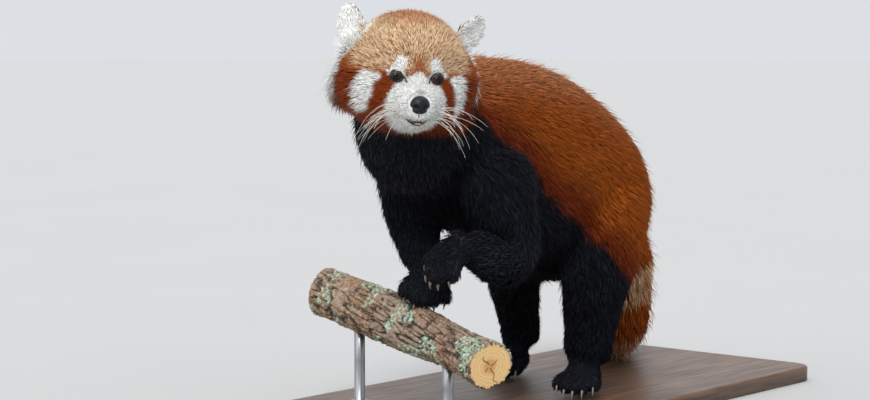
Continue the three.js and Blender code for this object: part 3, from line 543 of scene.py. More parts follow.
def head_flow(p):
    """The way the hair lies on the head: away from the nose, up over the brow, and out, back and down on the cheeks."""
    from_nose = unit(p - np.array([0.0, 70.0, -20.0]))
    side = np.sign(p[:, 0]) * smooth(8, 40, np.abs(p[:, 0]))
    cheek = smooth(26, 55, np.abs(p[:, 0])) * smooth(22, -8, p[:, 2])
    chin = smooth(-34, -50, p[:, 2])
    flow = from_nose + np.stack([0.5 * side, np.zeros(len(p)), 0.15 * smooth(10, 40, p[:, 2])], 1)
    flow = flow + cheek[:, None] * np.stack([0.5 * side, np.full(len(p), -0.5), np.full(len(p), -0.9)], 1)
    flow = flow + chin[:, None] * np.array([0, -0.6, -0.7])
    hang = np.stack([1.1 * side, np.full(len(p), 0.3), np.full(len(p), -2.2)], 1)
    return flow + side_fluff(p)[:, None] * hang


def looked_up(points, table, reach=7.0):
    """What the guides say at each point: a mean weighted by nearness for the lie and sizes, and the nearest guide's
    part and unwrap."""
    places = table[:, :3].astype(np.float32)
    soft = table[:, 3:9].astype(np.float32)
    result = np.empty((len(points), 9))
    for start in range(0, len(points), 3000):
        p = points[start:start + 3000].astype(np.float32)
        far = (p ** 2).sum(1)[:, None] + (places ** 2).sum(1) - 2 * p @ places.T
        far = np.sqrt(np.maximum(far, 0))
        nearest = far.argmin(1)
        weight = np.exp(-(far - far.min(1)[:, None]) / reach)
        result[start:start + 3000, :6] = weight @ soft / weight.sum(1)[:, None]
        result[start:start + 3000, 6:] = table[nearest, 9:]
    return result


# Groups of parts that run into each other under one crease-free skin.
LIMBS = [["torso"], ["neck"], ["tail"], ["head", "ear_left", "ear_right"]] + [[leg, leg + "_foot"] for leg in LEGS]


def gap_to(points, table, parts):
    """How far each point is from the nearest guide of some parts."""
    own = np.isin(table[:, 9].round().astype(int), [PARTS.index(name) for name in parts])
    places = table[own, :3].astype(np.float32)
    gap = np.empty(len(points))
    for start in range(0, len(points), 6000):
        p = points[start:start + 6000].astype(np.float32)
        far = (p ** 2).sum(1)[:, None] + (places ** 2).sum(1) - 2 * p @ places.T
        gap[start:start + 6000] = np.sqrt(np.maximum(far.min(1), 0))
    return gap


def join_share(points, table):
    """1 where two parts of the body meet and 0 well away from there, over a shorter way at the ankles."""
    gaps = np.sort(np.array([gap_to(points, table, limb) for limb in LIMBS]), axis=0)
    share = smooth(36, 10, gaps[1] - gaps[0])
    for leg in LEGS:
        shank, foot = gap_to(points, table, [leg]), gap_to(points, table, [leg + "_foot"])
        share = np.maximum(share, smooth(17, 4, np.abs(shank - foot)) * smooth(40, 25, np.minimum(shank, foot)))
    return share


def relaxed(points, edges, share, rounds=70):
    """Points drawn again and again half way to the mean of their neighbours, by their share."""
    ends = np.concatenate([edges[:, 0], edges[:, 1]])
    others = np.concatenate([edges[:, 1], edges[:, 0]])
    degree = np.maximum(np.bincount(ends, minlength=len(points)), 1)
    points = points.copy()
    for _ in range(rounds):
        for axis in range(3):
            mean = np.bincount(ends, weights=points[others, axis], minlength=len(points)) / degree
            points[:, axis] += 0.5 * share * (mean - points[:, axis])
    return points


def noise_at(points, cell, seed):
    """Soft noise from 0 to 1: a hashed value at each corner of a grid of cells, blended smoothly between corners."""
    p = np.asarray(points, float) / cell
    base = np.floor(p).astype(np.int64)
    w = p - base
    w = w * w * (3 - 2 * w)
    total = np.zeros(p.shape[:-1])
    for corner in np.ndindex(2, 2, 2):
        c = base + np.array(corner)
        h = (c[..., 0] * 374761393 + c[..., 1] * 668265263 + c[..., 2] * 2147483647 + seed * 144665) & 0x7FFFFFFF
        h = ((h ^ (h >> 13)) * 1274126177) & 0x7FFFFFFF
        h = ((h ^ (h >> 16)) & 0xFFFF) / 65535.0
        share = np.prod(np.where(np.array(corner) == 1, w, 1 - w), axis=-1)
        total += share * h
    return total


# Marks of the face in the head's side (as a distance) and up, each with a radius: chains of rounded patches.
WHITE_BROW = [(31, 6.5, 1.6), (25.5, 9.5, 2.4), (20.5, 12.5, 4.2), (17.5, 17.5, 5.6), (15, 11.5, 2.6)]
WHITE_CHEEK = [(41.5, 0, 4.6), (49, -3, 8), (52, -14, 8.6), (52, -24, 6.8), (49.5, -33, 4)]
WHITE_MUZZLE = [(0, 0, 7.5), (0, -8, 14), (9, -17, 18), (13, -26, 17.5), (10, -36, 16), (4, -44, 12)]


def patch(side, up, chain, soft):
    """1 inside a chain of rounded patches and 0 outside, with a soft edge."""
    gap = np.full(side.shape, 1e9)
    for (x0, z0, r0), (x1, z1, r1) in zip(chain[:-1], chain[1:]):
        dx, dz = x1 - x0, z1 - z0
        w = np.clip(((side - x0) * dx + (up - z0) * dz) / (dx * dx + dz * dz), 0, 1)
        gap = np.minimum(gap, np.hypot(side - x0 - dx * w, up - z0 - dz * w) - (r0 + (r1 - r0) * w))
    return smooth(soft, -soft, gap)


# How far along the tail each of its stations is, and where its pale rings lie along that way.
TAIL_RUN = np.concatenate([[0], np.cumsum(np.linalg.norm(np.diff(np.array(TAIL, float)[:, :3], axis=0), axis=1))])
PALE_RINGS = [10, 100, 192, 252, 298, 336]

# Height under which the body is black, along its length.
BLACK_LINE = np.array(
    [[-190, 366], [-150, 357], [-100, 330], [-64, 303], [-18, 272], [30, 226], [78, 204], [112, 158], [150, 130], [260, 114]]
)


def marks_at(points, part, share, out):
    """How white, black, buff and dark the coat is at places on the body, with painted light on the top of the back
    and painted shade on the muzzle, and how much of a tail ring lies there.
    """
    x, y, z = points.T
    wobble = (noise_at(points, 11, 3) - 0.5) * 2
    white = np.zeros(len(points))
    top_light_parts = np.isin(part, [PARTS.index("torso"), PARTS.index("neck")])
    # Painted light: where the back and the neck face up, up to a quarter of buff is mixed in.
    buff = np.where(top_light_parts, 0.25 * smooth(0.35, 0.95, out[:, 2]), 0)
    edge = np.interp(y, BLACK_LINE[:, 0], BLACK_LINE[:, 1]) + 7 * wobble
    fore = np.isin(part, [PARTS.index(n) for n in PARTS if n.startswith("fore")])
    feet = np.isin(part, [PARTS.index(n) for n in PARTS if n.endswith("_foot")])
    black = smooth(edge + 9, edge - 9, z)
    black = np.where(feet | (fore & (z < 240)), 1.0, black)
    dark = smooth(edge + 58, edge + 4, z)
    tail = part == PARTS.index("tail")
    run = np.interp(share, np.linspace(0, 1, len(TAIL)), TAIL_RUN)
    turns = np.interp(run, PALE_RINGS, np.arange(len(PALE_RINGS)))
    ring = np.where(tail, 0.5 + 0.5 * np.cos(2 * np.pi * (turns + 0.03 * wobble)), 0)
    black = np.where(tail, 0.75 * smooth(0.95, 1.0, share), black)
    dark = np.where(tail, 0.15 + 0.3 * smooth(0.5, 1.0, share), dark)
    buff = np.where(tail, 0.78 * smooth(0.42, 0.8, ring) * smooth(0.08, 0.2, share), buff)

    head = in_head(points)
    side = np.abs(head[:, 0]) + 1.2 * wobble
    side = side + 4 * smooth(25, 40, head[:, 0]) + 4 * smooth(44, 54, head[:, 0])
    ahead, up = head[:, 1], head[:, 2] + 1.2 * wobble
    front = smooth(-14, 2, ahead)
    face_white = np.maximum(patch(side, up, WHITE_BROW, 1.6), patch(side, up, WHITE_CHEEK, 2.4))
    face_white = np.maximum(face_white, patch(side, up, WHITE_MUZZLE, 2.2)) * front
    rim = np.maximum(smooth(59, 66, side), smooth(-34, -46, up)) * smooth(40, 26, up)
    crown = smooth(3, 11, up) * (1 - rim)
    between = smooth(10, 3, side) * smooth(30, 14, up)
    is_head = part == PARTS.index("head")
    by_ear = smooth(51, 55, np.abs(head[:, 0])) * smooth(29, 34, up) * smooth(-17, -11, ahead)
    fluff = side_fluff(head + 5 * wobble[:, None] * np.array([0, 1, 1]))
    rims = smooth(11, 9, eye_gap(head)) * smooth(-1, 3, head[:, 2] - EYE["up"])
    face_white = np.maximum(face_white, np.maximum(fluff, np.maximum(by_ear, rims)))
    white = np.where(is_head, face_white, white)
    straw = (1 - 0.75 * between) * (0.45 + 0.55 * smooth(-40, 5, ahead)) * (1 - 0.6 * smooth(48, 63, up))
    buff = np.where(is_head, crown * straw, buff)
    dark = np.where(is_head, 0.75 * smooth(8, 0, up) + 0.1 * rim, dark)
    throat = smooth(-50, -62, up) + smooth(-20, -50, ahead) * smooth(-5, -30, up)
    tear_and_muzzle_shade = patch(side, up, [(13.5, 1.5, 0.8), (11.5, -3.5, 1.0)], 0.8) * smooth(30, 40, ahead)
    # Painted shade: a little black over the white muzzle, kept with the tear marks.
    tear_and_muzzle_shade = np.maximum(tear_and_muzzle_shade, 0.11 * patch(side, up, WHITE_MUZZLE, 2.2) * front)
    # The black share also takes a grey patch above the nose.
    dark_marks_and_muzzle_shade = np.maximum(tear_and_muzzle_shade, 0.5 * patch(side, up, [(0, -11, 2), (0, -17, 7)], 5) * smooth(40, 60, ahead))
    black = np.where(is_head, np.maximum(np.clip(throat, 0, 1) * (1 - face_white), dark_marks_and_muzzle_shade), black)

    for hand, name in ((1, "ear_left"), (-1, "ear_right")):
        own = part == PARTS.index(name)
        inner = smooth(-0.42, -0.05, out @ head_way([hand * 0.8, 0.6, 0]))
        outer_root = smooth(0.5, 0.32, share) * smooth(-0.3, 0.1, out @ head_way([hand, 0.2, -0.4]))
        inner = np.maximum(inner, outer_root)
        white = np.where(own, inner, white)
        dark = np.where(own, 0.8, dark)
        black = np.where(own, 0.12 + 0.15 * (1 - inner), black)
        buff = np.where(own, 0, buff)
    return np.stack([white, black, buff, dark], 1), ring


def mesh_object(name, points, faces, smoothed=True):
    """A mesh object of triangles, its points in metres of the frame."""
    mesh = bpy.data.meshes.new(name)
    faces = np.ascontiguousarray(faces, np.int32)
    mesh.vertices.add(len(points))
    mesh.vertices.foreach_set("co", np.ascontiguousarray(points, np.float32).ravel())
    mesh.loops.add(faces.size)
    mesh.loops.foreach_set("vertex_index", faces.ravel())
    mesh.polygons.add(len(faces))
    mesh.polygons.foreach_set("loop_start", np.arange(len(faces), dtype=np.int32) * 3)
    mesh.polygons.foreach_set("use_smooth", np.full(len(faces), smoothed))
    mesh.update(calc_edges=True)
    mesh.validate()
    obj = bpy.data.objects.new(name, mesh)
    bpy.context.scene.collection.objects.link(obj)
    return obj


def put_colour(obj, name, values):
    """Four numbers for each point as a named attribute."""
    data = obj.data.attributes.new(name, "FLOAT_COLOR", "POINT").data
    data.foreach_set("color", np.ascontiguousarray(values, np.float32).ravel())


def merged(shells):
    """Several shells as one list of points and triangles."""
    points, faces, start = [], [], 0
    for p, f in shells:
        points.append(p)
        faces.append(f + start)
        start += len(p)
    return np.concatenate(points), np.concatenate(faces)


def finish_piece(obj, material, slot, *nodes):
    """Gives a piece its material, body and the nodes it stands for. Its slot is not used."""
    obj.data.materials.append(material)
    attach(obj, "root")
    if nodes:
        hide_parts(*nodes)


# The coat, tuft by tuft.

def tuft_faces(rings):
    """The triangles of one tuft: a cap at its root, three sides between its rings, and a point."""
    faces = [(0, 1, 2)]
    for i in range(rings - 1):
        for j in range(3):
            a, b = 3 * i + j, 3 * i + (j + 1) % 3
            faces += [(a, a + 3, b + 3), (a, b + 3, b)]
    last = 3 * (rings - 1)
    faces += [(3 * rings, last + (j + 1) % 3, last + j) for j in range(3)]
    return np.array(faces)


def tufts(root, out, lie, length, width, depth, pull, rings):
    """Tufts of hair as closed points. The middle line is root - out sink + lie length s + out (depth + sink)
    (1 - (1 - s)^1.7) + pull s^2, and each ring across it is a low triangle that narrows to the tip."""
    s = np.array([0, 0.5, 1.0]) if rings == 2 else np.array([0, 0.36, 0.7, 1.0])
    wide = np.array([0.7, 1.0]) if rings == 2 else np.array([0.7, 1.0, 0.72])
    sink = np.minimum(1.6, 0.3 * depth + 0.4)
    lift = (depth + sink)[:, None] * (1 - (1 - s) ** 1.7) - sink[:, None]
    line = (
        root[:, None]
        + lie[:, None] * (length[:, None] * s)[..., None]
        + out[:, None] * lift[..., None]
        + pull[:, None] * (s ** 2)[None, :, None]
    )
    across = unit(np.cross(lie, out))
    half = 0.5 * width[:, None] * wide
    corners = []
    for x, y in ((1, -0.3), (0, 0.5), (-1, -0.3)):
        corners.append(line[:, :rings] + across[:, None] * (x * half)[..., None] + out[:, None] * (y * half)[..., None])
    body = np.stack(corners, 2).reshape(len(root), 3 * rings, 3)
    return np.concatenate([body, line[:, -1:]], 1), np.concatenate([np.repeat(s[:rings], 3), [1.0]])


def rooted(skin, keep, count, weight, draw):
    """Places spread evenly by weighted area over the kept triangles of the skin: the triangle and its three shares."""
    area = skin["area"] * keep * weight
    steps = (np.arange(count) + draw.random(count)) / count * area.sum()
    chosen = np.minimum(np.searchsorted(np.cumsum(area), steps), len(area) - 1)
    a, b = draw.random(count), draw.random(count)
    fold = a + b > 1
    a, b = np.where(fold, 1 - a, a), np.where(fold, 1 - b, b)
    return chosen, np.stack([1 - a - b, a, b], 1)


def nearest_of(points, centres):
    """The nearest centre to each point."""
    found = np.empty(len(points), int)
    c = centres.astype(np.float32)
    for start in range(0, len(points), 4000):
        p = points[start:start + 4000].astype(np.float32)
        found[start:start + 4000] = ((c ** 2).sum(1) - 2 * p @ c.T).argmin(1)
    return found


def skin_data():
    """The skin's points, triangles and what the coat does at each point, kept with the skin's mesh."""
    skin = bpy.data.objects.get("skin")
    if skin is None:
        raise RuntimeError("Make the skin before its coat")
    mesh = skin.data
    mesh.calc_loop_triangles()
    data = {}
    for key, owner, field, size in (
        ("points", mesh.vertices, "co", 3),
        ("normals", mesh.vertex_normals, "vector", 3),
        ("faces", mesh.loop_triangles, "vertices", 3),
    ):
        flat = np.empty(len(owner) * size, np.int32 if key == "faces" else np.float32)
        owner.foreach_get(field, flat)
        data[key] = flat.reshape(-1, size)
    data["points"] = data["points"].astype(float) * 1000 - LIFT
    data["normals"] = data["normals"].astype(float)
    corners = data["points"][data["faces"]]
    data["area"] = np.linalg.norm(np.cross(corners[:, 1] - corners[:, 0], corners[:, 2] - corners[:, 0]), axis=1) / 2
    data["middle"] = corners.mean(1)
    for name, width in (("lie", 3), ("size", 3), ("place", 3)):
        flat = np.empty(len(mesh.vertices) * 3, np.float32)
        mesh.attributes[name].data.foreach_get("vector", flat)
        data[name] = flat.reshape(-1, 3).astype(float)
    data["part"] = data["place"][data["faces"][:, 0], 0].round().astype(int)
    return data


# Each piece of coat: the parts it grows on, which half, number of tufts, rings of a tuft, clumping and sway.
COAT_PIECES = {
    "coat_head_left": dict(parts=["head"], half=1, count=15500, rings=2, clump=0.4, sway=0.24, slot="head_coat"),
    "coat_head_right": dict(parts=["head"], half=-1, count=15500, rings=2, clump=0.4, sway=0.24, slot="head_coat"),
    "coat_ears": dict(parts=["ear_left", "ear_right"], half=0, count=7000, rings=2, clump=0.2, sway=0.2, slot="ear_coat"),
    "coat_neck": dict(parts=["neck"], half=0, count=9500, rings=3, clump=0.5, sway=0.22, slot="black_coat"),
    "coat_torso_left": dict(parts=["torso"], half=1, count=18500, rings=2, clump=0.3, sway=0.12, slot="rust_coat"),
    "coat_torso_right": dict(parts=["torso"], half=-1, count=18500, rings=2, clump=0.3, sway=0.12, slot="rust_coat"),
    "coat_forelegs": dict(parts=["foreleg_right", "foreleg_left"], half=0, count=14000, rings=2, clump=0.45, sway=0.2,
                          slot="black_coat"),
    "coat_hindlegs": dict(parts=["hindleg_right", "hindleg_left"], half=0, count=18000, rings=2, clump=0.45, sway=0.2,
                          slot="black_coat"),
    "coat_feet": dict(parts=[leg + "_foot" for leg in LEGS], half=0, count=10000, rings=2, clump=0.3, sway=0.2,
                      slot="black_coat"),
    "coat_tail": dict(parts=["tail"], half=0, count=12000, rings=3, clump=0.45, sway=0.2, slot="tail_coat"),
}


def lip_line(s):
    """The mouth's line in the head's axes, for s from -1 at its right corner to 1 at its left."""
    return np.stack([17.5 * s, 64.0 - 6.4 * s ** 2, -41.5 + 4.4 * s ** 2], -1)


def mouth_gap(p):
    """How far places in the head's axes are from the mouth's line."""
    line = lip_line(np.clip(p[:, 0] / 17.5, -1, 1))
    return np.linalg.norm(p - line, axis=1)


def bare_places(points):
    """0 where no hair grows: the eyes, the nose and the mouth's line. 1 elsewhere."""
    p = in_head(points)
    bare = np.ones(len(points))
    bare *= smooth(6.0, 6.8, eye_gap(p))
    nose = (p - np.array([0, NOSE["ahead"], NOSE["up"]])) / np.array([NOSE["wide"], NOSE["deep"], NOSE["tall"]])
    bare *= smooth(1.2, 2.4, mouth_gap(p))
    return bare * smooth(1.0, 1.12, np.linalg.norm(nose, axis=1))


def coat_piece(name, skin, spec, seed):
    """One piece of coat: tufts rooted over its parts of the skin, lying the guides' way, drawn together in clumps."""
    draw = np.random.default_rng(seed)
    keep = np.isin(skin["part"], [PARTS.index(p) for p in spec["parts"]])
    if spec["half"]:
        middle = in_head(skin["middle"])[:, 0] if spec["parts"] == ["head"] else skin["middle"][:, 0]
        keep = keep & ((middle > 0) == (spec["half"] > 0))
    size = skin["size"][skin["faces"]].mean(1)
    weight = (1 + 2 * side_fluff(in_head(skin["middle"]))) / np.maximum(size[:, 0] * size[:, 2], 4) ** 0.7
    face, share = rooted(skin, keep, spec["count"], weight * bare_places(skin["middle"]), draw)
    corner = skin["faces"][face]
    blend = lambda key: (skin[key][corner] * share[..., None]).sum(1)
    root, out, lie, size = blend("points"), unit(blend("normals")), blend("lie"), blend("size")
    hair = bare_places(root) > 0.5
    face, corner, root, out, lie, size = face[hair], corner[hair], root[hair], out[hair], lie[hair], size[hair]
    size[:, 0] *= 0.5 + 0.5 * smooth(3, 12, mouth_gap(in_head(root)))
    count = len(root)
    lie = unit(lie - out * (lie * out).sum(1)[:, None])
    side = np.cross(lie, out)
    lie = unit(lie + side * (draw.normal(0, spec["sway"], count))[:, None])
    length = size[:, 0] * draw.uniform(0.72, 1.18, count)
    depth = size[:, 1] * draw.uniform(0.62, 1.1, count)
    width = size[:, 2] * draw.uniform(0.65, 1.2, count)
    stray = draw.random(count) < 0.08
    depth = np.where(stray, 1.6 * depth + 0.6, depth)
    width = np.where(stray, 0.55 * width, width)
    centres = draw.choice(count, max(count // 9, 1), replace=False)
    own = centres[nearest_of(root, root[centres])]
    pull = (root[own] + lie[own] * length[own, None] - root - lie * length[:, None]) * spec["clump"]
    far = np.linalg.norm(pull, axis=1)
    pull *= np.minimum(1, 0.55 * length / np.maximum(far, 1e-6))[:, None]
    pull += side * (draw.normal(0, 0.07, count) * length)[:, None] - UP * (0.04 * length)[:, None]
    points, s = tufts(root, out, lie, length, width, depth, pull, spec["rings"])
    each = points.shape[1]
    pattern = tuft_faces(spec["rings"])
    faces = (np.arange(count)[:, None, None] * each + pattern).reshape(-1, 3)
    obj = mesh_object(name, placed(points.reshape(-1, 3)), faces)
    part = skin["part"][face]
    place = skin["place"][corner[:, 0]]
    marks, ring = marks_at(root + lie * (0.5 * length)[:, None], part, place[:, 1], out)
    tone = draw.random(count)
    strand = np.zeros((count, each, 4))
    strand[..., 0] = s
    strand[..., 1] = tone[:, None]
    strand[..., 2] = ring[:, None]
    strand[..., 3] = 1
    put_colour(obj, "marks", np.repeat(marks, each, 0))
    put_colour(obj, "strand", strand.reshape(-1, 4))
    row = np.searchsorted(np.sort([PARTS.index(p) for p in spec["parts"]]), part)
    unwrap = np.stack([place[:, 1], (row + np.clip(place[:, 2], 0, 1)) / len(spec["parts"])], 1) * 0.98 + 0.01
    unwrap += draw.uniform(-0.004, 0.004, unwrap.shape)
    corner_uv = np.stack([np.where(np.arange(each) % 3 == 2, 0.0015, -0.0015), 0.003 * s], 1)
    corner_uv[-1, 0] = 0
    uv = unwrap[:, None, None] + corner_uv[pattern][None]
    layer = obj.data.uv_layers.new(name="OFBake")
    layer.data.foreach_set("uv", np.clip(uv, 0, 1).astype(np.float32).ravel())
    finish_piece(obj, bpy.data.materials["coat"], spec["slot"])
    return obj


# Materials and the effects they share.


def new_group(name, inputs, outputs):
    """An empty shader node group with named sockets, and its first and last nodes."""
    tree = bpy.data.node_groups.new(name, "ShaderNodeTree")
    for label, kind, value in inputs:
        made = tree.interface.new_socket(label, in_out="INPUT", socket_type=kind)
        made.default_value = value
    for label, kind in outputs:
        tree.interface.new_socket(label, in_out="OUTPUT", socket_type=kind)
    return tree, tree.nodes.new("NodeGroupInput"), tree.nodes.new("NodeGroupOutput")


class Wiring:
    """Short words for putting nodes in a tree and joining them."""

    def __init__(self, tree):
        self.tree = tree

    def node(self, kind, **settings):
        """A node with settings by attribute name, where inputs are given as a dict of socket to value or socket."""
        made = self.tree.nodes.new(kind)
        inputs = settings.pop("inputs", {})
        for key, value in settings.items():
            setattr(made, key, value)
        for key, value in inputs.items():
            self.feed(made.inputs[key], value)
        return made

    def feed(self, socket, value):
        """Joins an output to a socket, or sets the socket's own value."""
        if isinstance(value, bpy.types.NodeSocket):
            self.tree.links.new(value, socket)
        else:
            socket.default_value = value

    def mix(self, factor, a, b, blend="MIX"):
        """Two colours mixed."""
        made = self.node("ShaderNodeMix", data_type="RGBA", blend_type=blend, clamp_factor=True)
        self.feed(made.inputs["Factor"], factor)
        self.feed(made.inputs[6], a)
        self.feed(made.inputs[7], b)
        return made.outputs[2]

    def math(self, operation, a, b=0.0, clamp=False):
        """Two numbers worked together."""
        made = self.node("ShaderNodeMath", operation=operation, use_clamp=clamp)
        self.feed(made.inputs[0], a)
        self.feed(made.inputs[1], b)
        return made.outputs[0]

    def span(self, value, low, high, to_low=0.0, to_high=1.0):
        """A number carried from one span to another, held at its ends."""
        made = self.node("ShaderNodeMapRange", clamp=True)
        for key, v in zip(("Value", "From Min", "From Max", "To Min", "To Max"), (value, low, high, to_low, to_high)):
            self.feed(made.inputs[key], v)
        return made.outputs[0]

    def noise(self, where, scale, detail=3.0, roughness=0.55):
        """Noise over a place."""
        made = self.node("ShaderNodeTexNoise")
        for key, v in (("Vector", where), ("Scale", scale), ("Detail", detail), ("Roughness", roughness)):
            self.feed(made.inputs[key], v)
        return made.outputs["Fac"]


def new_material(name, **constants):
    """A material with a Principled shader whose constants are set on its own sockets."""
    material = bpy.data.materials.new(name)
    material.use_nodes = True
    wiring = Wiring(material.node_tree)
    shader = material.node_tree.nodes["Principled BSDF"]
    for key, value in constants.items():
        shader.inputs[key.replace("_", " ")].default_value = value
    return material, wiring, shader


def object_place(wiring, scale=(1, 1, 1)):
    """Object coordinates, stretched."""
    place = wiring.node("ShaderNodeTexCoord").outputs["Object"]
    return wiring.node("ShaderNodeMapping", inputs={"Vector": place, "Scale": scale}).outputs[0]


def coat_colour_group(colours):
    """The colour of a tuft or of the skin under it: the marks choose between the coat's colours, roots are darker than
    tips as painted shade in the coat, the tips of some black tufts are paler as a painted sheen, and each tuft has a
    tone of its own."""
    inputs = [(key.capitalize(), "NodeSocketColor", tuple(value)) for key, value in colours.items()]
    tree, first, last = new_group("coat colour", inputs, [("Color", "NodeSocketColor"), ("Shade", "NodeSocketFloat")])
    w = Wiring(tree)
    marks = w.node("ShaderNodeAttribute", attribute_name="marks")
    part = w.node("ShaderNodeSeparateColor", inputs={"Color": marks.outputs["Color"]})
    strand = w.node("ShaderNodeSeparateColor", inputs={
        "Color": w.node("ShaderNodeAttribute", attribute_name="strand").outputs["Color"]})
    along, tone = strand.outputs[0], strand.outputs[1]
    spots = w.noise(object_place(w), 95.0, 2.0)
    jitter = w.math("ADD", w.math("MULTIPLY", tone, 0.5), w.math("MULTIPLY", spots, 0.5))
    dark = w.math("ADD", marks.outputs["Alpha"], w.span(jitter, 0.3, 0.7, -0.18, 0.18), True)
    colour = w.mix(dark, first.outputs["Rust"], first.outputs["Dark"])
    straw = w.math("MULTIPLY", part.outputs[2], w.span(w.math("ADD", w.math("MULTIPLY", along, 0.5), tone), 0.25, 0.95, 0.12, 1.0))
    colour = w.mix(straw, colour, first.outputs["Buff"])
    colour = w.mix(part.outputs[0], colour, first.outputs["White"])
    colour = w.mix(part.outputs[1], colour, first.outputs["Black"])
    # Painted shade: each tuft is darker toward its root, white tufts less so.
    root_shade = w.span(part.outputs[0], 0.0, 1.0, 0.5, 0.78)
    shade = w.math("MULTIPLY", w.span(along, 0.0, 0.8, root_shade, 1.08), w.span(jitter, 0.2, 0.8, 0.76, 1.2))
    # Painted sheen: the tips of some black tufts are made much paler.
    painted_sheen_tips = w.span(w.math("MULTIPLY", along, tone), 0.5, 0.95, 0.0, 4.5)
    shade = w.math("MULTIPLY", shade, w.math("ADD", w.math("MULTIPLY", painted_sheen_tips, part.outputs[1]), 1.0))
    colour = w.mix(1.0, colour, w.node("ShaderNodeCombineColor", inputs={
        "Red": shade, "Green": shade, "Blue": shade}).outputs[0], "MULTIPLY")
    w.feed(last.inputs["Color"], colour)
    w.feed(last.inputs["Shade"], shade)
    return tree


def place_group(wiring, name):
    """A group node in a material's tree."""
    return wiring.node("ShaderNodeGroup", node_tree=bpy.data.node_groups[name])


def coat_materials(settings):
    """The coat's material and that of the skin under it, from the same colours."""
    colours = {key: getattr(settings, key) for key in ("rust", "dark", "buff", "white", "black")}
    coat_colour_group(colours)
    material, w, shader = new_material("coat", Specular_IOR_Level=0.1)
    group = place_group(w, "coat colour")
    w.feed(shader.inputs["Base Color"], group.outputs["Color"])
    w.feed(shader.inputs["Roughness"], w.span(group.outputs["Shade"], 0.4, 1.2, 0.72, 0.5))
    material, w, shader = new_material("skin", Roughness=0.8)
    group = place_group(w, "coat colour")
    w.feed(shader.inputs["Base Color"], group.outputs["Color"])
    grain = w.noise(object_place(w, (1, 1, 0.35)), 900.0, 3.0)
    bump = w.node("ShaderNodeBump", inputs={"Height": grain, "Strength": 0.6, "Distance": 0.001})
    w.feed(shader.inputs["Normal"], bump.outputs[0])


def ball(centre, axes, sizes, rows, sides, shape=None):
    """A closed rounded form: centre plus its axes times (sin tilt cos turn, sin tilt sin turn, cos tilt) times its
    sizes, where shape may change the radius by tilt and turn."""
    tilt = np.pi * np.arange(1, rows) / rows
    turn = 2 * np.pi * np.arange(sides) / sides
    tilt, turn = np.meshgrid(tilt, turn, indexing="ij")
    way = np.stack([np.sin(tilt) * np.cos(turn), np.sin(tilt) * np.sin(turn), np.cos(tilt)], -1)
    radius = np.ones(tilt.shape) if shape is None else shape(way)
    poles = np.array([[0, 0, 1.0], [0, 0, -1.0]])
    pole_radius = np.ones(2) if shape is None else shape(poles)
    to_part = lambda v: np.asarray(centre) + (v * np.array(sizes)) @ np.asarray(axes)
    ends = to_part(poles * pole_radius[:, None])
    return tube(to_part(way * radius[..., None]), ends[0], ends[1])


def gaze(hand):
    """The way an eye looks, in the head's axes, with the ways across and up beside it."""
    ahead = unit(np.array([hand * 0.24, 1.0, 0.02]))
    across = unit(np.cross(ahead, np.array([0.0, 0.0, 1.0])))
    return np.array([across, np.cross(across, ahead), ahead])


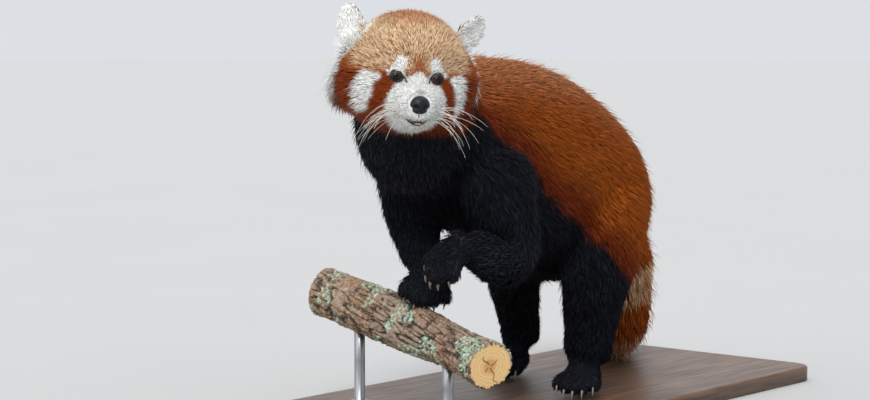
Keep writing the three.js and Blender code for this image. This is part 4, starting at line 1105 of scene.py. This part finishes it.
def make_eyes():
    """The eyes, each with a clear bulge in front of its dark iris and pupil, and the dark lids round them."""
    shells, marks = [], []
    for hand in (1, -1):
        axes = gaze(hand)
        centre = np.array([hand * EYE["side"], EYE["ahead"], EYE["up"]])
        bulge = lambda way: 1 + 0.07 * smooth(0.72, 0.98, way[..., 2])
        points, faces = ball(centre, axes, [EYE["radius"]] * 3, 48, 64, bulge)
        ahead = ((points - centre) @ axes.T)
        off = np.degrees(np.arctan2(np.hypot(ahead[:, 0], ahead[:, 1]), ahead[:, 2]))
        marks.append(np.stack([off / 90, np.zeros(len(off)), np.zeros(len(off)), np.ones(len(off))], 1))
        shells.append((on_head(points), faces))
    points, faces = merged(shells)
    eyes = mesh_object("eyes", placed(points), faces)
    put_colour(eyes, "gaze", np.concatenate(marks))
    material, w, shader = new_material("eye", Roughness=0.05, Coat_Weight=0.12, Coat_Roughness=0.01,
                                       Specular_IOR_Level=0.18)
    off = w.node("ShaderNodeSeparateColor", inputs={
        "Color": w.node("ShaderNodeAttribute", attribute_name="gaze").outputs["Color"]}).outputs[0]
    iris = w.mix(w.noise(object_place(w), 1400.0), (0.05, 0.018, 0.006, 1), (0.018, 0.006, 0.003, 1))
    colour = w.mix(w.span(off, 0.23, 0.28), (0.002, 0.002, 0.002, 1), iris)
    colour = w.mix(w.span(off, 0.52, 0.6), colour, (0.008, 0.005, 0.004, 1))
    w.feed(shader.inputs["Base Color"], colour)
    finish_piece(eyes, material, "eye", "eye_left", "eye_right")

    lids = []
    for hand in (1, -1):
        axes = gaze(hand)
        centre = np.array([hand * EYE["side"], EYE["ahead"], EYE["up"]])
        turn = 2 * np.pi * np.arange(72) / 72
        round_lid = 2 * np.pi * np.arange(24) / 24
        turn, roll = np.meshgrid(turn, round_lid, indexing="ij")
        corner = np.clip(np.cos(turn) * -hand, 0, 1) ** 6
        open_x = 4.9 + 1.6 * corner
        open_y = 4.6 - 0.9 * corner - 0.5 * smooth(0.2, 1, np.sin(turn))
        opening = 1 / np.hypot(np.cos(turn) / open_x, np.sin(turn) / open_y)
        edge = np.arcsin(np.clip(opening / 8.8, 0, 0.95))
        middle = edge + 0.16
        tilt = middle - 0.16 * np.cos(roll)
        radius = EYE["radius"] + 0.4 + 0.55 * np.sin(roll)
        way = np.stack([np.sin(tilt) * np.cos(turn), np.sin(tilt) * np.sin(turn), np.cos(tilt)], -1)
        ring = on_head(centre + (way * radius[..., None]) @ axes)
        lids.append(closed_ring(ring))
    points, faces = merged(lids)
    rims = mesh_object("eyelids", placed(points), faces)
    material, w, shader = new_material("lid_skin", Roughness=0.38, Coat_Weight=0.25, Coat_Roughness=0.2)
    pores = w.noise(object_place(w), 1500.0)
    w.feed(shader.inputs["Base Color"], w.mix(pores, (0.006, 0.005, 0.005, 1), (0.02, 0.016, 0.014, 1)))
    bump = w.node("ShaderNodeBump", inputs={"Height": pores, "Strength": 0.4, "Distance": 0.0003})
    w.feed(shader.inputs["Normal"], bump.outputs[0])
    finish_piece(rims, material, "eye")


def closed_ring(grid):
    """A ring-shaped surface, closed both ways round."""
    count, sides = grid.shape[:2]
    i, j = np.meshgrid(np.arange(count), np.arange(sides), indexing="ij")
    a = (i * sides + j).ravel()
    b = (i * sides + (j + 1) % sides).ravel()
    c = ((i + 1) % count * sides + j).ravel()
    d = ((i + 1) % count * sides + (j + 1) % sides).ravel()
    points = grid.reshape(-1, 3)
    faces = np.concatenate([np.stack([a, c, d], 1), np.stack([a, d, b], 1)])
    corners = points[faces]
    out = np.cross(corners[:, 1] - corners[:, 0], corners[:, 2] - corners[:, 0])
    if (out * corners.mean(1)).sum() < 0:
        faces = faces[:, ::-1]
    return points, faces


def make_nose():
    """The nose pad, with its nostrils sunk in and a groove down its middle."""
    def shape(way):
        side, ahead, up = way[..., 0], way[..., 1], way[..., 2]
        radius = 1 + 0.05 * (np.abs(side) ** 2) - 0.1 * smooth(0.35, 0.0, ahead) * smooth(0.2, -0.6, up)
        for hand in (1, -1):
            hole = unit(np.array([hand * 0.5, 0.86, -0.22]))
            gap = np.arccos(np.clip(way @ hole, -1, 1))
            radius = radius - 0.34 * smooth(0.34, 0.12, gap)
            slit = unit(np.array([hand * 0.86, 0.45, -0.4]))
            gap = np.arccos(np.clip(way @ slit, -1, 1))
            radius = radius - 0.14 * smooth(0.34, 0.1, gap)
        return radius - 0.1 * smooth(0.1, 0.0, np.abs(side)) * smooth(0.1, -0.3, up) * smooth(0, 0.4, ahead)

    points, faces = ball([0, NOSE["ahead"], NOSE["up"]], np.eye(3), [NOSE["wide"], NOSE["deep"], NOSE["tall"]],
                         90, 120, shape)
    nose = mesh_object("nose_pad", placed(on_head(points)), faces)
    material, w, shader = new_material("nose_skin", Coat_Weight=0.12, Coat_Roughness=0.3, Specular_IOR_Level=0.22)
    cells = w.node("ShaderNodeTexVoronoi", feature="F1", inputs={"Vector": object_place(w), "Scale": 900.0})
    w.feed(shader.inputs["Base Color"], w.mix(cells.outputs["Distance"], (0.004, 0.0045, 0.006, 1), (0.009, 0.01, 0.013, 1)))
    w.feed(shader.inputs["Roughness"], w.span(w.noise(object_place(w), 300.0), 0.3, 0.7, 0.3, 0.5))
    bump = w.node("ShaderNodeBump", invert=True, inputs={
        "Height": cells.outputs["Distance"], "Strength": 0.5, "Distance": 0.0004})
    w.feed(shader.inputs["Normal"], bump.outputs[0])
    finish_piece(nose, material, "nose_skin", "nose")


def make_mouth():
    """The mouth, a little open: dark lips along the upper and lower edge of a lens on the muzzle, the split up to the
    nose, the dark inside between the lips, and the tip of the tongue."""
    s = np.linspace(-1, 1, 9)
    upper = lip_line(s)
    gap = 3.6 * (1 - s ** 2)
    lower = upper * [0.74, 1, 1] - np.column_stack([0 * s, 0.5 * gap, gap + 0.4])
    inside = (upper * [0.72, 1, 1] + lower) / 2 - [0, 0.9, 0]
    split = np.column_stack([0 * s, 69.6 - 2.7 * (s + 1), -33.5 - 4.0 * (s + 1)])
    for name, lines, material, slot in (
        ("lips", ((upper, 2.4, 0.8), (lower, 2.4, 0.9), (split, 0.8, 1.6)), "lid_skin", "nose_skin"),
        ("mouth_inside", ((inside, 2.6, 2.1),), "lid_skin", "nose_skin"),
    ):
        lofts = []
        for line, wide, tall in lines:
            taper = (1 - 0.5 * np.abs(s)) ** 0.7
            stations = np.column_stack([on_head(line), wide * taper, tall * taper])
            lofts.append(loft(stations, head_way([0, 0, 1]), 60, 20, (0.1, 0.1)))
        points, faces = merged(lofts)
        finish_piece(mesh_object(name, placed(points), faces), bpy.data.materials[material], slot)
    tip = lambda way: 1 - 0.12 * smooth(0.5, 0, np.abs(way[..., 0])) * smooth(0.2, 0.9, way[..., 2])
    points, faces = ball([0.6, 61.6, -44.0], np.eye(3), [5.0, 3.6, 1.5], 24, 36, tip)
    tongue = mesh_object("tongue", placed(on_head(points)), faces)
    material, w, shader = new_material("tongue_skin", Roughness=0.35, Coat_Weight=0.4, Coat_Roughness=0.2)
    buds = w.noise(object_place(w), 1200.0)
    w.feed(shader.inputs["Base Color"], w.mix(buds, (0.5, 0.26, 0.16, 1), (0.62, 0.36, 0.25, 1)))
    bump = w.node("ShaderNodeBump", inputs={"Height": buds, "Strength": 0.5, "Distance": 0.0003})
    w.feed(shader.inputs["Normal"], bump.outputs[0])
    finish_piece(tongue, material, "nose_skin")


def make_whiskers():
    """Whiskers from both sides of the muzzle: root + length (way t + fall t^2), thinning to a point."""
    draw = np.random.default_rng(71)
    shells = []
    t = np.linspace(0, 1, 11)[:, None]
    for hand in (1, -1):
        for row in range(4):
            for k in range(5):
                side = 14 + 2.6 * row + draw.uniform(-0.8, 0.8)
                up = -22.5 - 3.6 * k - 0.8 * row + draw.uniform(-0.8, 0.8)
                ray = unit(np.array([[hand * side, 48.0, up]]) - HEAD_MIDDLE)
                root = HEAD_MIDDLE + ray * (head_reach(ray)[:, None] - 3)
                length = draw.uniform(26, 60)
                way = unit(np.array([hand * draw.uniform(0.7, 1.0), draw.uniform(0.25, 0.6), draw.uniform(-0.25, 0.3)]))
                fall = np.array([-hand * draw.uniform(0.0, 0.3), draw.uniform(-0.3, -0.05), -draw.uniform(0.25, 0.75)])
                line = root + length * (way * t + fall * t ** 2)
                radius = 0.21 * (1 - 0.75 * t[:, 0]) + 0.05
                stations = np.column_stack([on_head(line), radius, radius])
                shells.append(loft(stations, head_way([0, 0.3, 1]), 18, 4, (0.02, 0.02)))
    points, faces = merged(shells)
    whiskers = mesh_object("whiskers", placed(points), faces)
    material, w, shader = new_material("whisker", Specular_IOR_Level=0.6, Roughness=0.35)
    tone = w.noise(object_place(w), 40.0)
    w.feed(shader.inputs["Base Color"], w.mix(tone, (0.86, 0.84, 0.8, 1), (0.62, 0.58, 0.52, 1)))
    finish_piece(whiskers, material, "head_coat")


def make_claws():
    """A claw on each digit: a cone that curves down from the digit's end, deeper than it is wide."""
    material, w, shader = new_material("claw_horn", Coat_Weight=0.3, Coat_Roughness=0.25)
    streak = w.noise(object_place(w, (1, 1, 0.3)), 700.0, 4.0)
    w.feed(shader.inputs["Base Color"], w.mix(streak, (0.09, 0.065, 0.05, 1), (0.36, 0.29, 0.23, 1)))
    w.feed(shader.inputs["Roughness"], w.span(streak, 0.3, 0.7, 0.28, 0.45))
    for leg, foot in FEET.items():
        shells = []
        for k in range(-2, 3):
            _, _, tip, pointing, above = digit_line(foot, k)
            s = np.linspace(0, 1, 7)[:, None]
            line = tip + pointing * (foot["width"] * 0.03 - 3.0 + 8.8 * s) + above * (2.4 - 5.6 * s * s)
            half = 2.0 * (1 - s[:, 0]) ** 0.75 + 0.2
            shells.append(loft(np.column_stack([line, half * 0.72, half * 1.12]), above, 20, 20, (0.05, 0.04)))
        points, faces = merged(shells)
        claws = mesh_object("claws_" + leg, placed(points), faces)
        finish_piece(claws, material, "claw_horn", *[leg + "_claw_%d" % k for k in range(1, 6)])


def branch_point(share):
    """A place on the straight lines from the branch's left end through its middle to its right end."""
    left, middle, right = (np.array(PERCH[k], float) for k in ("left", "middle", "right"))
    return left + (middle - left) * share * 2 if share < 0.5 else middle + (right - middle) * (share * 2 - 1)


def make_perch():
    """The cut branch: a round log along a curve whose radius has swells, long furrows between plates of bark and
    patches of raised lichen, and two sawn ends that are flat but for saw marks and drying cracks."""
    left, middle, right = (np.array(PERCH[k], float) for k in ("left", "middle", "right"))
    bend = 2 * middle - (left + right) / 2
    steps, sides, cap = 270, 200, 22
    t, u = np.meshgrid(np.linspace(0, 1, steps), np.arange(sides) / sides * 2 * np.pi, indexing="ij")
    w = t[..., None]
    centre = left * (1 - w) ** 2 + bend * 2 * w * (1 - w) + right * w ** 2
    along = unit((bend - left) * (1 - w) + (right - bend) * w)
    side = unit(np.cross(along, UP))
    over = np.cross(side, along)
    length = 285.0
    swell = 2.2 * np.sin(5.1 * t + 0.6) + 1.2 * np.sin(2 * u + 9 * t)
    twist = u + 1.1 * t
    around = np.stack([np.cos(twist) * 27, np.sin(twist) * 27, t * length / 5.0], -1)
    plates = noise_at(around, 4.3, 21)
    furrow = smooth(0.0, 0.36, np.abs(plates - 0.5) * 2 + 0.25 * (noise_at(around, 2.6, 22) - 0.5))
    cracks = noise_at(np.stack([np.cos(twist) * 27, np.sin(twist) * 27, t * length / 1.4], -1), 3.4, 23)
    furrow = furrow * (0.72 + 0.28 * smooth(0.3, 0.52, cracks))
    lichen = smooth(0.56, 0.63, noise_at(np.stack([np.cos(u) * 27, np.sin(u) * 27, t * length], -1), 21, 24))
    lichen = lichen * smooth(0.42, 0.58, noise_at(np.stack([np.cos(u) * 27, np.sin(u) * 27, t * length], -1), 2.7, 25))
    rough = noise_at(around * np.array([1, 1, 4.0]), 1.5, 26) - 0.5
    radius = 26.3 + swell + 2.9 * (furrow - 0.72) + 0.8 * rough + 0.8 * lichen
    edge = np.minimum(t, 1 - t) * length
    radius = radius - 0.8 * smooth(1.6, 0, edge)
    rings = centre + side * (radius * np.cos(u))[..., None] + over * (radius * np.sin(u))[..., None]
    marks = np.stack([furrow, lichen, np.zeros_like(u), np.ones_like(u)], -1)

    def sawn(row):
        share = np.linspace(1, 0, cap + 1)[1:-1, None]
        spoke = rings[row] - centre[row]
        r = radius[row] * share
        saw = 0.12 * np.sin(r * 0.9 * np.cos(u[row] - 0.7) * 3.1)
        outward = along[row] * (1 if row else -1)
        crack = np.zeros(r.shape)
        for heading, start, stop, wide in ((0.8, 1, 16, 0.9), (2.6, 0, 12, 0.8), (4.3, 1, 23, 0.8), (5.5, 2, 11, 0.6)):
            off = np.abs(np.angle(np.exp(1j * (u[row] - heading - 0.12 * np.sin(0.5 * r))))) * r
            crack = np.maximum(crack, smooth(wide, 0.3 * wide, off) * smooth(stop, stop - 4, r) * smooth(start, start + 2, r))
        ends = centre[row] + spoke * share[..., None] + outward * (saw - 0.8 * crack)[..., None]
        tone = np.stack([r / 27, crack, np.ones_like(r), np.ones_like(r)], -1)
        return ends, tone

    first, first_tone = sawn(0)
    last, last_tone = sawn(-1)
    grid = np.concatenate([first[::-1], rings, last])
    tone = np.concatenate([first_tone[::-1], marks, last_tone])
    points, faces = tube(grid, centre[0, 0], centre[-1, 0])
    tone = np.concatenate([tone.reshape(-1, 4), [[0, 0, 1, 1], [0, 0, 1, 1]]])
    perch = mesh_object("perch", placed(points), faces)
    put_colour(perch, "bark", tone)
    material, w, shader = new_material("bark")
    marks = w.node("ShaderNodeSeparateColor", inputs={
        "Color": w.node("ShaderNodeAttribute", attribute_name="bark").outputs["Color"]})
    crest, moss, cut = marks.outputs[0], marks.outputs[1], marks.outputs[2]
    place = object_place(w)
    fine = w.noise(place, 260.0, 5.0, 0.65)
    broad = w.noise(place, 22.0, 3.0)
    colour = w.mix(w.span(crest, 0.15, 0.95), (0.022, 0.013, 0.008, 1), (0.3, 0.21, 0.145, 1))
    colour = w.mix(w.span(broad, 0.42, 0.62), colour, w.mix(crest, (0.035, 0.018, 0.009, 1), (0.27, 0.15, 0.085, 1)))
    colour = w.mix(w.math("MULTIPLY", w.span(fine, 0.5, 0.7), 0.7), colour, (0.5, 0.42, 0.33, 1))
    colour = w.mix(w.math("MULTIPLY", w.span(fine, 0.46, 0.34), 0.6), colour, (0.03, 0.019, 0.012, 1))
    green = w.mix(w.span(fine, 0.35, 0.65), (0.13, 0.2, 0.13, 1), (0.52, 0.64, 0.5, 1))
    colour = w.mix(moss, colour, green)
    uneven = w.noise(place, 60.0, 3.0)
    year = w.math("FRACT", w.math("ADD", w.math("MULTIPLY", crest, 7.0), w.math("MULTIPLY", uneven, 2.2)))
    wood = w.mix(w.span(year, 0.3, 1.0, 0.0, 0.55), (0.74, 0.5, 0.23, 1), (0.55, 0.31, 0.12, 1))
    heart = w.math("ADD", crest, w.math("MULTIPLY", uneven, 0.5))
    wood = w.mix(w.span(heart, 0.62, 0.42, 0.0, 0.7), wood, (0.5, 0.21, 0.06, 1))
    wood = w.mix(w.math("MULTIPLY", moss, 0.9), wood, (0.1, 0.045, 0.02, 1))
    wood = w.mix(w.span(crest, 0.86, 0.93), wood, (0.11, 0.06, 0.035, 1))
    colour = w.mix(cut, colour, wood)
    w.feed(shader.inputs["Base Color"], colour)
    w.feed(shader.inputs["Roughness"], w.span(fine, 0.3, 0.7, 0.78, 0.95))
    bump = w.node("ShaderNodeBump", inputs={"Height": fine, "Strength": 0.7, "Distance": 0.0012})
    w.feed(shader.inputs["Normal"], bump.outputs[0])
    finish_piece(perch, material, "bark", "perch_branch")


def make_base():
    """The wooden base: a rectangle with round corners, carried up a profile that is rounded at its top edge."""
    x, y, r = BASE["width"] / 2, BASE["length"] / 2, BASE["corner"]
    arc = np.radians(np.linspace(0, 90, 13))
    outline, normal = [], []
    for quarter, (cx, cy) in enumerate([(x - r, y - r), (-x + r, y - r), (-x + r, -y + r), (x - r, -y + r)]):
        a = arc + quarter * np.pi / 2
        outline.append(np.stack([cx + r * np.cos(a), cy + r * np.sin(a)], 1))
        normal.append(np.stack([np.cos(a), np.sin(a)], 1))
    outline, normal = np.concatenate(outline), np.concatenate(normal)
    top = np.radians(np.linspace(0, 90, 7))
    foot = 1.2
    profile = [(-foot, -18.0), (0.0, -18.0 + foot)]
    profile += [(-3.0 + 3.0 * np.cos(a), -3.0 + 3.0 * np.sin(a)) for a in top]
    profile += [(-9.0, 0.0), (-20.0, 0.0)]
    rings = []
    for inward, z in profile:
        flat = outline + normal * inward
        rings.append(np.column_stack([flat[:, 0], flat[:, 1] + BASE["centre_y"], np.full(len(flat), z)]))
    rings = np.array(rings)
    shrink = np.array([0.75, 0.5, 0.25])[:, None, None]
    middle = np.array([0.0, BASE["centre_y"], 0.0])
    inner = middle + (rings[-1] - middle) * shrink
    grid = np.concatenate([rings, inner])
    points, faces = tube(grid, middle - [0, 0, 18.0], middle)
    base = mesh_object("base_board", placed(points), faces[:, ::-1])
    outward_first(base)
    material, w, shader = new_material("base_wood", Coat_Weight=0.25, Coat_Roughness=0.3)
    place = object_place(w, (1.0, 0.06, 1.0))
    warp = w.noise(place, 9.0, 3.0)
    grain = w.noise(place, 210.0, 5.0, 0.6)
    rings_at = w.math("FRACT", w.math("MULTIPLY", warp, 9.0))
    colour = w.mix(w.span(rings_at, 0.0, 0.9), (0.085, 0.042, 0.022, 1), (0.16, 0.085, 0.045, 1))
    colour = w.mix(w.span(grain, 0.45, 0.65), colour, (0.05, 0.024, 0.013, 1))
    w.feed(shader.inputs["Base Color"], colour)
    w.feed(shader.inputs["Roughness"], w.span(grain, 0.3, 0.7, 0.42, 0.56))
    bump = w.node("ShaderNodeBump", inputs={"Height": grain, "Strength": 0.12, "Distance": 0.0004})
    w.feed(shader.inputs["Normal"], bump.outputs[0])
    finish_piece(base, material, "base_wood", "stand_base")


def outward_first(obj):
    """Turns a closed mesh right side out."""
    mesh = obj.data
    mesh.calc_loop_triangles()
    flat = np.empty(len(mesh.vertices) * 3, np.float32)
    mesh.vertices.foreach_get("co", flat)
    faces = np.empty(len(mesh.loop_triangles) * 3, np.int32)
    mesh.loop_triangles.foreach_get("vertices", faces)
    corner = flat.reshape(-1, 3)[faces.reshape(-1, 3)].astype(float)
    volume = (corner[:, 0] * np.cross(corner[:, 1], corner[:, 2])).sum()
    if volume < 0:
        mesh.flip_normals()


def make_rods():
    """The steel rods that hold the branch: round bars with a turned collar on the base."""
    material, w, shader = new_material("rod_steel", Metallic=1.0)
    brushed = w.noise(object_place(w, (1, 1, 14)), 500.0, 3.0)
    w.feed(shader.inputs["Base Color"], w.mix(brushed, (0.3, 0.31, 0.33, 1), (0.42, 0.43, 0.45, 1)))
    w.feed(shader.inputs["Roughness"], w.span(brushed, 0.3, 0.7, 0.28, 0.42))
    for number, share in enumerate(ROD["shares"], 1):
        foot = branch_point(share)
        high = foot[2] - PERCH["radius"] + ROD["sunk"] + 4
        profile = [(3.0, -10), (6.0, -9.4), (6.0, 0), (11.0, 0.2), (11.0, 2.4), (10.2, 3.2), (6.6, 3.6), (6.0, 4.2),
                   (6.0, high * 0.5), (6.0, high - 0.6), (3.0, high)]
        u = np.arange(48) / 48 * 2 * np.pi
        rings = np.array([
            np.column_stack([foot[0] + r * np.cos(u), foot[1] + r * np.sin(u), np.full(48, z)]) for r, z in profile])
        points, faces = tube(rings, [foot[0], foot[1], -10], [foot[0], foot[1], high])
        rod = mesh_object("rod_%d" % number, placed(points), faces)
        outward_first(rod)
        finish_piece(rod, material, "rod_steel", "stand_rod_%d" % number)


def make_skin(settings):
    """The one skin under the coat: every shell joined by a voxel remesh, smoothed, with the coat's lie kept on it."""
    points, faces = merged(skin_shells())
    floor = 1.5
    points[:, 2] = np.maximum(points[:, 2], floor)
    raw = mesh_object("skin_shells", placed(points), faces)
    remesh = raw.modifiers.new("join", "REMESH")
    remesh.mode = "VOXEL"
    remesh.voxel_size = settings.voxel
    soften = raw.modifiers.new("soften", "SMOOTH")
    soften.factor = 0.5
    soften.iterations = 4
    graph = bpy.context.evaluated_depsgraph_get()
    mesh = bpy.data.meshes.new_from_object(raw.evaluated_get(graph))
    bpy.data.objects.remove(raw)
    skin = bpy.data.objects.new("skin", mesh)
    mesh.name = "skin"
    bpy.context.scene.collection.objects.link(skin)
    mesh.polygons.foreach_set("use_smooth", np.full(len(mesh.polygons), True))
    flat = np.empty(len(mesh.vertices) * 3, np.float32)
    mesh.vertices.foreach_get("co", flat)
    points = flat.reshape(-1, 3).astype(float) * 1000 - LIFT
    table = guides()
    edges = np.empty(len(mesh.edges) * 2, np.int32)
    mesh.edges.foreach_get("vertices", edges)
    points = relaxed(points, edges.reshape(-1, 2), join_share(points, table))
    mesh.vertices.foreach_set("co", placed(points).astype(np.float32).ravel())
    mesh.update()
    found = looked_up(points, table)
    normals = np.empty(len(mesh.vertices) * 3, np.float32)
    mesh.vertex_normals.foreach_get("vector", normals)
    for name, values in (("lie", found[:, :3]), ("size", found[:, 3:6]), ("place", found[:, 6:9])):
        data = mesh.attributes.new(name, "FLOAT_VECTOR", "POINT").data
        data.foreach_set("vector", np.ascontiguousarray(values, np.float32).ravel())
    marks, ring = marks_at(points, found[:, 6].round().astype(int), found[:, 7], normals.reshape(-1, 3))
    put_colour(skin, "marks", marks)
    # The skin is coloured as a tuft 0.2 of its way out, so it takes the painted shade of the roots.
    put_colour(skin, "strand", np.column_stack([np.full(len(points), 0.2), np.full(len(points), 0.4), ring,
                                                np.ones(len(points))]))
    finish_piece(skin, bpy.data.materials["skin"], "rust_coat", *FLESH)


def make_stage():
    """A wide pale floor, soft light from above and both sides, a pale surround, and the photo's camera."""
    scene = bpy.context.scene
    u = np.arange(96) / 96 * 2 * np.pi
    rings = np.array([np.column_stack([r * np.cos(u), r * np.sin(u), np.full(96, z)])
                      for r, z in ((14.0, -0.02), (14.0, 0.0), (5.0, 0.0), (1.0, 0.0))])
    points, faces = tube(rings, [0, 0, -0.02], [0, 0, 0])
    floor = mesh_object("floor", points - [0, 0, 0.0004], faces, False)
    outward_first(floor)
    material, w, shader = new_material("floor", Roughness=0.8)
    tone = w.noise(object_place(w), 3.0)
    w.feed(shader.inputs["Base Color"], w.mix(tone, (0.44, 0.44, 0.435, 1), (0.465, 0.465, 0.46, 1)))
    floor.data.materials.append(material)

    world = bpy.data.worlds.new("surround")
    world.use_nodes = True
    world.node_tree.nodes["Background"].inputs["Color"].default_value = (0.9, 0.93, 0.97, 1)
    world.node_tree.nodes["Background"].inputs["Strength"].default_value = 0.8
    scene.world = world
    for name, toward, angle, strength in (
        ("key_light", (0.7, -1.1, 1.15), 15, 1.75),
        ("top_light", (-0.15, 0.45, 1.6), 55, 1.15),
        ("side_light", (-0.38, -1.1, 0.5), 50, 0.55),
    ):
        lamp = bpy.data.lights.new(name, "SUN")
        lamp.angle = np.radians(angle)
        lamp.energy = strength
        holder = bpy.data.objects.new(name, lamp)
        holder.location = Vector(toward) * 2
        holder.rotation_euler = Vector(toward).to_track_quat("Z", "Y").to_euler()
        scene.collection.objects.link(holder)

    settings = scene.panda_stage
    camera = bpy.data.cameras.new("camera")
    camera.lens = settings.lens
    camera.sensor_width = 36.0
    holder = bpy.data.objects.new("camera", camera)
    azimuth, elevation = settings.azimuth, settings.elevation
    back = Vector((np.sin(azimuth) * np.cos(elevation), -np.cos(azimuth) * np.cos(elevation), np.sin(elevation)))
    holder.location = Vector((0.015, -0.2, 0.25)) + back * settings.distance
    holder.rotation_euler = (-back).to_track_quat("-Z", "Y").to_euler()
    scene.collection.objects.link(holder)
    scene.camera = holder
    scene.view_settings.view_transform = "Standard"


def colour_property(name, description, default):
    """A colour that a user may change."""
    return bpy.props.FloatVectorProperty(
        name=name, description=description, subtype="COLOR", size=4, min=0, max=1, default=default)


class PandaCoatSettings(bpy.types.PropertyGroup):
    """Colours and fineness of the coat."""

    rust: colour_property("Rust", "The back and flanks", (0.44, 0.102, 0.008, 1))
    dark: colour_property("Dark rust", "The lower flanks and the rim of the face", (0.21, 0.03, 0.006, 1))
    buff: colour_property("Buff", "The crown and the pale tail rings", (0.76, 0.57, 0.36, 1))
    white: colour_property("White", "The muzzle, cheeks, brows and ears", (0.93, 0.93, 0.9, 1))
    black: colour_property("Black", "The legs, chest and belly", (0.0085, 0.0098, 0.0145, 1))
    density: bpy.props.FloatProperty(
        name="Density", description="Share of the full number of tufts", default=1.0, min=0.05, max=1.3, subtype="FACTOR")
    voxel: bpy.props.FloatProperty(
        name="Voxel", description="Fineness of the skin under the coat", default=0.003, min=0.002, max=0.01,
        unit="LENGTH")


class PandaStageSettings(bpy.types.PropertyGroup):
    """The camera's place and lens."""

    azimuth: bpy.props.FloatProperty(
        name="Azimuth", description="Turn of the camera round the model", default=float(np.radians(40)),
        subtype="ANGLE", unit="ROTATION")
    elevation: bpy.props.FloatProperty(
        name="Elevation", description="Height of the camera over the level", default=float(np.radians(5)),
        subtype="ANGLE", unit="ROTATION")
    distance: bpy.props.FloatProperty(
        name="Distance", description="Way from the camera to its target", default=2.6, min=0.5, unit="LENGTH")
    lens: bpy.props.FloatProperty(
        name="Lens", description="Focal length on a 36 mm sensor", default=99.31, min=20, max=300, subtype="DISTANCE_CAMERA")


class PandaSkin(bpy.types.Operator):
    """Makes the skin under the coat, and the coat's materials"""

    bl_idname = "panda.skin"
    bl_label = "Skin"

    def execute(self, context):
        coat_materials(context.scene.panda_coat)
        make_skin(context.scene.panda_coat)
        return {"FINISHED"}


class PandaCoat(bpy.types.Operator):
    """Roots the tufts of the coat on the skin"""

    bl_idname = "panda.coat"
    bl_label = "Coat"

    def execute(self, context):
        skin = skin_data()
        for seed, (name, spec) in enumerate(COAT_PIECES.items(), 100):
            count = int(spec["count"] * context.scene.panda_coat.density)
            coat_piece(name, skin, {**spec, "count": count}, seed)
        return {"FINISHED"}


class PandaFace(bpy.types.Operator):
    """Makes the eyes, lids, nose, lips and whiskers"""

    bl_idname = "panda.face"
    bl_label = "Face"

    def execute(self, context):
        make_eyes()
        make_nose()
        make_mouth()
        make_whiskers()
        return {"FINISHED"}


class PandaClaws(bpy.types.Operator):
    """Makes the claws of all four feet"""

    bl_idname = "panda.claws"
    bl_label = "Claws"

    def execute(self, context):
        make_claws()
        return {"FINISHED"}


class PandaPerch(bpy.types.Operator):
    """Makes the cut branch under the forepaws"""

    bl_idname = "panda.perch"
    bl_label = "Perch"

    def execute(self, context):
        make_perch()
        return {"FINISHED"}


class PandaStand(bpy.types.Operator):
    """Makes the wooden base and the steel rods"""

    bl_idname = "panda.stand"
    bl_label = "Stand"

    def execute(self, context):
        make_base()
        make_rods()
        return {"FINISHED"}


class PandaStage(bpy.types.Operator):
    """Makes the floor, the lights and the camera"""

    bl_idname = "panda.stage"
    bl_label = "Stage"

    def execute(self, context):
        make_stage()
        return {"FINISHED"}


OPERATORS = (PandaStage, PandaSkin, PandaCoat, PandaFace, PandaClaws, PandaPerch, PandaStand)


class PandaPanel(bpy.types.Panel):
    """Lists the model's pieces and what can be changed on them."""

    bl_idname = "VIEW3D_PT_red_panda"
    bl_label = "Red Panda"
    bl_space_type = "VIEW_3D"
    bl_region_type = "UI"
    bl_category = "Red Panda"

    def draw(self, context):
        for settings in (context.scene.panda_coat, context.scene.panda_stage):
            for key in settings.__annotations__:
                self.layout.prop(settings, key)
        for operator in OPERATORS:
            self.layout.operator(operator.bl_idname)


CLASSES = (PandaCoatSettings, PandaStageSettings, *OPERATORS, PandaPanel)


def register():
    for cls in CLASSES:
        bpy.utils.register_class(cls)
    bpy.types.Scene.panda_coat = bpy.props.PointerProperty(type=PandaCoatSettings)
    bpy.types.Scene.panda_stage = bpy.props.PointerProperty(type=PandaStageSettings)


def unregister():
    del bpy.types.Scene.panda_stage
    del bpy.types.Scene.panda_coat
    for cls in reversed(CLASSES):
        bpy.utils.unregister_class(cls)


def main():
    register()
    bpy.ops.panda.stage()
    bpy.ops.panda.skin()
    bpy.ops.panda.coat()
    bpy.ops.panda.face()
    bpy.ops.panda.claws()
    bpy.ops.panda.perch()
    bpy.ops.panda.stand()


if __name__ == "__main__":
    main()
